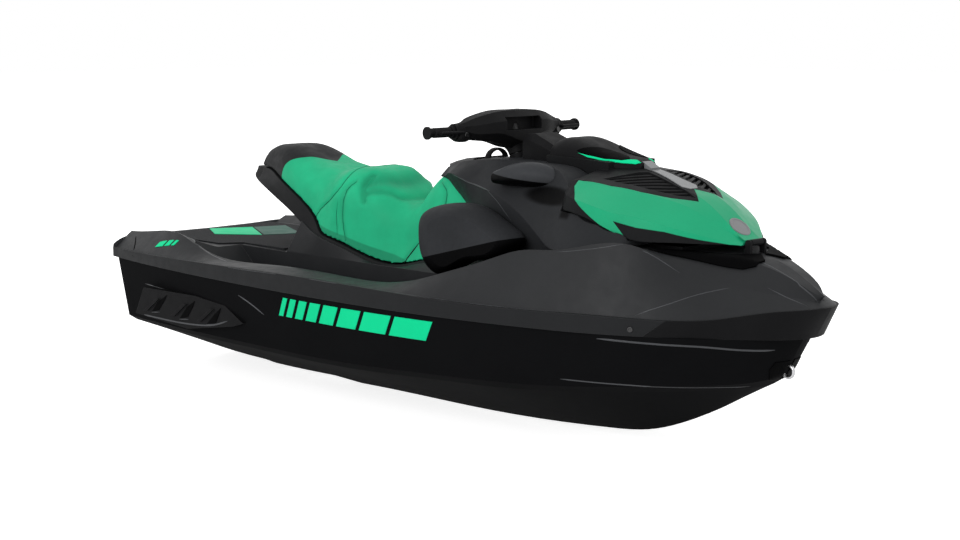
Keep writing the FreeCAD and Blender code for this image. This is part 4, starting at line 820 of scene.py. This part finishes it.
# Gloss side windows of the visor, each over a green strip
WINDOW = [(0.684, -0.111, 0.798), (0.700, -0.094, 0.806), (0.715, -0.078, 0.809),
          (0.740, -0.045, 0.808), (0.770, -0.028, 0.800), (0.800, -0.020, 0.791),
          (0.845, -0.024, 0.781), (0.868, -0.046, 0.775), (0.853, -0.070, 0.772),
          (0.826, -0.085, 0.774), (0.799, -0.097, 0.776), (0.766, -0.104, 0.781),
          (0.733, -0.109, 0.786), (0.705, -0.112, 0.792)]
STRIP = [(0.690, -0.113, 0.790), (0.733, -0.110, 0.784), (0.799, -0.098, 0.774),
         (0.853, -0.072, 0.770), (0.872, -0.046, 0.773), (0.886, -0.030, 0.771),
         (0.906, -0.032, 0.762), (0.898, -0.052, 0.760), (0.862, -0.078, 0.763),
         (0.805, -0.103, 0.768), (0.736, -0.114, 0.779)]
for word, side in SIDES:
    toward = (-0.25, -side * 0.62, -0.74)
    patch("visor_window_" + word, [(x, -y * side, z) for x, y, z in WINDOW], toward, visor_skin,
          BLACK_AND_SHADE_LOOK, "hood", "gloss_black", lift=0.0012, cell=0.010)
    patch("visor_strip_" + word, [(x, -y * side, z) for x, y, z in STRIP], toward, visor_skin,
          BRIGHT, "hood", "hood_green", lift=0.0010, cell=0.010)

# A plain round badge, left bare, on the hood's nose
ROUNDEL = [(-0.003, 0.040), (0.002, 0.040), (0.0038, 0.038), (0.0038, 0.033), (0.002, 0.031),
           (0.0026, 0.0005)]
place, normal = hood_skin.near((1.298, 0.0, 0.576))
lathe("hood_roundel", ROUNDEL, place, normal, LOOKS["grey_trim"], "hood", 48)

# A plain round dial with even ticks on the display
display = nodes["gauge_display"]
faces = [p for p in display.data.polygons if p.normal.x < -0.3]
dial_area = sum(p.area for p in faces)
dial_centre = sum((p.center * p.area for p in faces), Vector()) / dial_area
dial_axis = sum((p.normal * p.area for p in faces), Vector()).normalized()
DIAL_RING = [(-0.001, 0.0270), (0.0010, 0.0270), (0.0014, 0.0262), (0.0010, 0.0254),
             (-0.001, 0.0254)]
lathe("dial_ring", DIAL_RING, dial_centre, dial_axis, LOOKS["grey_trim"], "hood", 48)
dial_side = dial_axis.cross(Vector((0, 0, 1))).normalized()
dial_up = dial_side.cross(dial_axis)
TICKS, TICK_TURN, TICK_PLACE, TICK_HALF = 11, 24, 0.0215, 0.0025
TICK_SECTION = ((-0.0006, -0.0005), (0.0006, -0.0005), (0.0006, 0.0007), (-0.0006, 0.0007))
for k in range(TICKS):
    turn = math.radians(-30 + TICK_TURN * k)
    way = dial_side * math.cos(turn) + dial_up * math.sin(turn)
    across = dial_axis.cross(way)
    middle = dial_centre + way * TICK_PLACE
    rings = [[middle + way * a + across * b + dial_axis * c for b, c in TICK_SECTION]
             for a in (-TICK_HALF, TICK_HALF)]
    tube_from("dial_tick_%d" % k, rings, LOOKS["grey_trim"], "hood", smooth=False)


# A soft pull strap that arches over the latch
def strap(name, path, wide, thick, look, body):
    """A flat band of even width along a line that runs across the craft."""
    line = resample(path, 0.004)
    rings = []
    for i, middle in enumerate(line):
        ahead = (line[min(i + 1, len(line) - 1)] - line[max(i - 1, 0)]).normalized()
        across = Vector((1, 0, 0))
        out = ahead.cross(across).normalized()
        ring = []
        for k in range(16):
            turn = 2 * math.pi * k / 16
            reach = [math.copysign(abs(c) ** 0.6, c) for c in (math.cos(turn), math.sin(turn))]
            ring.append(middle + across * wide * reach[0] + out * thick * reach[1])
        rings.append(ring)
    return tube_from(name, rings, look, body)


loop = np.array([v.co for v in nodes["latch_loop"].data.vertices])
loop_x = (loop[:, 0].min() + loop[:, 0].max()) / 2
loop_z = loop[:, 2].min()
ARCH = ((-0.048, 0.000), (-0.044, 0.012), (-0.034, 0.024), (-0.016, 0.033), (0.0, 0.035),
        (0.016, 0.033), (0.034, 0.024), (0.044, 0.012), (0.048, 0.000))
pull = strap("pull_strap", [(loop_x, y, loop_z + z) for y, z in ARCH], 0.013, 0.0050,
             LOOKS["grip_rubber"], "root")
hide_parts("latch_loop")


# Grips and bar fittings
def bar_axis(side):
    """Inner and outer end of a grip, from its solid."""
    co = np.array([v.co for v in nodes["grips"].data.vertices])
    co = co[co[:, 1] * side > 0]
    reach = co[:, 1] * side
    outer = co[reach > reach.max() - 0.004].mean(0)
    inner = co[reach < reach.min() + 0.004].mean(0)
    return Vector(inner), Vector(outer)


RIBS = 15
RIB_LOW, RIB_HIGH, RIB_END = 0.0172, 0.0182, 0.0150  # radii
for word, side in SIDES:
    inner, outer = bar_axis(side)
    long = (outer - inner).length
    step = (long - 0.046) / RIBS
    profile = [(0.016, RIB_END)]
    for k in range(RIBS):
        at = 0.018 + step * k
        profile += [(at, RIB_LOW), (at + step * 0.18, RIB_HIGH), (at + step * 0.62, RIB_HIGH),
                    (at + step * 0.8, RIB_LOW)]
    profile.append((long - 0.026, RIB_END))
    lathe("grip_ribs_" + word, profile, inner, outer - inner, LOOKS["grip_rubber"], "handlebar",
          28)

# A rubber boot round the column's stem, below the padded cover
joint = next(j for j in frame["joints"] if j["name"] == "steering")
boot = [(0.004, 0.0270), (0.004, 0.0340)]
for k in range(9):
    share = k / 8
    wave = 0.0012 if k % 2 else 0.0
    boot.append((0.006 + 0.030 * share, 0.0335 + 0.010 * share * share + wave))
boot += [(0.052, 0.048), (0.066, 0.056), (0.066, 0.0270)]
lathe("column_boot", boot, joint["pos_m"], joint["axis"], LOOKS["grip_rubber"], "handlebar",
      40)

# A switch housing with one button, and the perch of the lever, at the inner end of each grip
BUTTON = [(-0.004, 0.0095), (0.0035, 0.0095), (0.0050, 0.0080), (0.0050, 0.0)]
PERCH = [(-0.010, 0.0), (-0.010, 0.0205), (-0.007, 0.0225), (0.007, 0.0225), (0.010, 0.0205),
         (0.010, 0.0)]
for word, side in SIDES:
    inner, outer = bar_axis(side)
    way = (outer - inner).normalized()
    up = (Vector((0, 0, 1)) - way * way.z).normalized()
    fore = way.cross(up) * (1 if way.cross(up).x > 0 else -1)
    middle = inner - way * 0.036 - up * 0.004
    lump("switch_housing_" + word, middle, (0.030, 0.034, 0.034), (way, fore, up),
         LOOKS["grip_rubber"], "handlebar", 3.2)
    lathe("switch_button_" + word, BUTTON, middle + fore * 0.033 - up * 0.006, fore,
          LOOKS["gloss_black"], "handlebar", 24)
    lathe("lever_perch_" + word, PERCH, inner + way * 0.004, way, LOOKS["trim_black"], "handlebar",
          28)

# Floor, light and camera
FLOOR_HALF = 40.0
floor_level = cad_low.z - 0.0005
corners = ((-1, -1), (1, -1), (1, 1), (-1, 1))
floor_mesh = bpy.data.meshes.new("floor")
floor_mesh.from_pydata([(a * FLOOR_HALF, b * FLOOR_HALF, floor_level) for a, b in corners], [],
                       [(0, 1, 2, 3)])
floor = bpy.data.objects.new("floor", floor_mesh)
scene.collection.objects.link(floor)
ground = Tree("floor")
rays = ground.add("LightPath").outputs
glossy = ground.math("MULTIPLY", rays["Is Glossy Ray"], 0.4)
mirrored = ground.math("MAXIMUM", glossy, rays["Is Transmission Ray"])
seen = ground.math("MAXIMUM", rays["Is Camera Ray"], mirrored)
along, across, _ = ground.axes()
squares = ground.math("ADD", ground.math("MULTIPLY", along, along),
                      ground.math("MULTIPLY", across, across))
# The floor glows less under the craft, so that its shadow shows
glow = ground.span(ground.math("SQRT", squares), 1.5, 6.0, 0.80, 1.0)
ground.drive("Base Color", ground.mix(ground.noise(0.8, 3.0), (0.80, 0.80, 0.80), (0.84, 0.84, 0.84)))
ground.drive("Roughness", 0.9)
ground.drive("Specular IOR Level", 0.0)
ground.drive("Emission Color", (1.0, 1.0, 1.0, 1.0))
ground.drive("Emission Strength", ground.math("MULTIPLY", seen, glow))
floor_mesh.materials.append(ground.material)

# A white world: at full strength where it is seen or mirrored, weaker where it only lights
WORLD_LIGHT = 0.74
world = bpy.data.worlds.new("studio")
scene.world = world
world.use_nodes = True
sky, join = world.node_tree.nodes, world.node_tree.links.new
path = sky.new("ShaderNodeLightPath")
most, other = sky.new("ShaderNodeMath"), sky.new("ShaderNodeMath")
most.operation = other.operation = "MAXIMUM"
join(path.outputs["Is Glossy Ray"], other.inputs[0])
join(path.outputs["Is Transmission Ray"], other.inputs[1])
join(path.outputs["Is Camera Ray"], most.inputs[0])
join(other.outputs[0], most.inputs[1])
strength = sky.new("ShaderNodeMapRange")
strength.inputs["To Min"].default_value = WORLD_LIGHT
strength.inputs["To Max"].default_value = 1.0
join(most.outputs[0], strength.inputs["Value"])
join(strength.outputs["Result"], sky["Background"].inputs["Strength"])
sky["Background"].inputs["Color"].default_value = (1.0, 1.0, 1.0, 1.0)


def aimed(thing, place, target):
    """Puts a lamp or a camera at a place, looking at a target."""
    scene.collection.objects.link(thing)
    thing.location = place
    thing.rotation_euler = (Vector(target) - Vector(place)).to_track_quat("-Z", "Y").to_euler()


def soft_lamp(name, place, target, size, watts):
    """A large soft lamp."""
    data = bpy.data.lights.new(name, "AREA")
    data.shape = "RECTANGLE"
    data.size, data.size_y = size
    data.energy = watts
    aimed(bpy.data.objects.new(name, data), place, target)


soft_lamp("overhead", (0.2, 0.2, 4.2), (0.1, 0.0, 0.2), (5.0, 4.0), 15)
soft_lamp("near side", (1.6, -5.6, 2.3), (0.0, 0.0, 0.3), (4.0, 2.4), 150)
soft_lamp("bow side", (4.6, 2.0, 2.8), (0.4, 0.0, 0.3), (2.5, 2.5), 30)
soft_lamp("stern side", (-4.5, -3.2, 2.4), (-0.4, 0.0, 0.3), (2.0, 2.0), 10)

camera_data = bpy.data.cameras.new("camera")
camera_data.lens = 63.75
camera_data.sensor_width = 36.0
camera = bpy.data.objects.new("camera", camera_data)
aimed(camera, (4.592, -4.492, 1.238), (0.10, 0.0, 0.311))
scene.camera = camera

scene.view_settings.view_transform = "Standard"
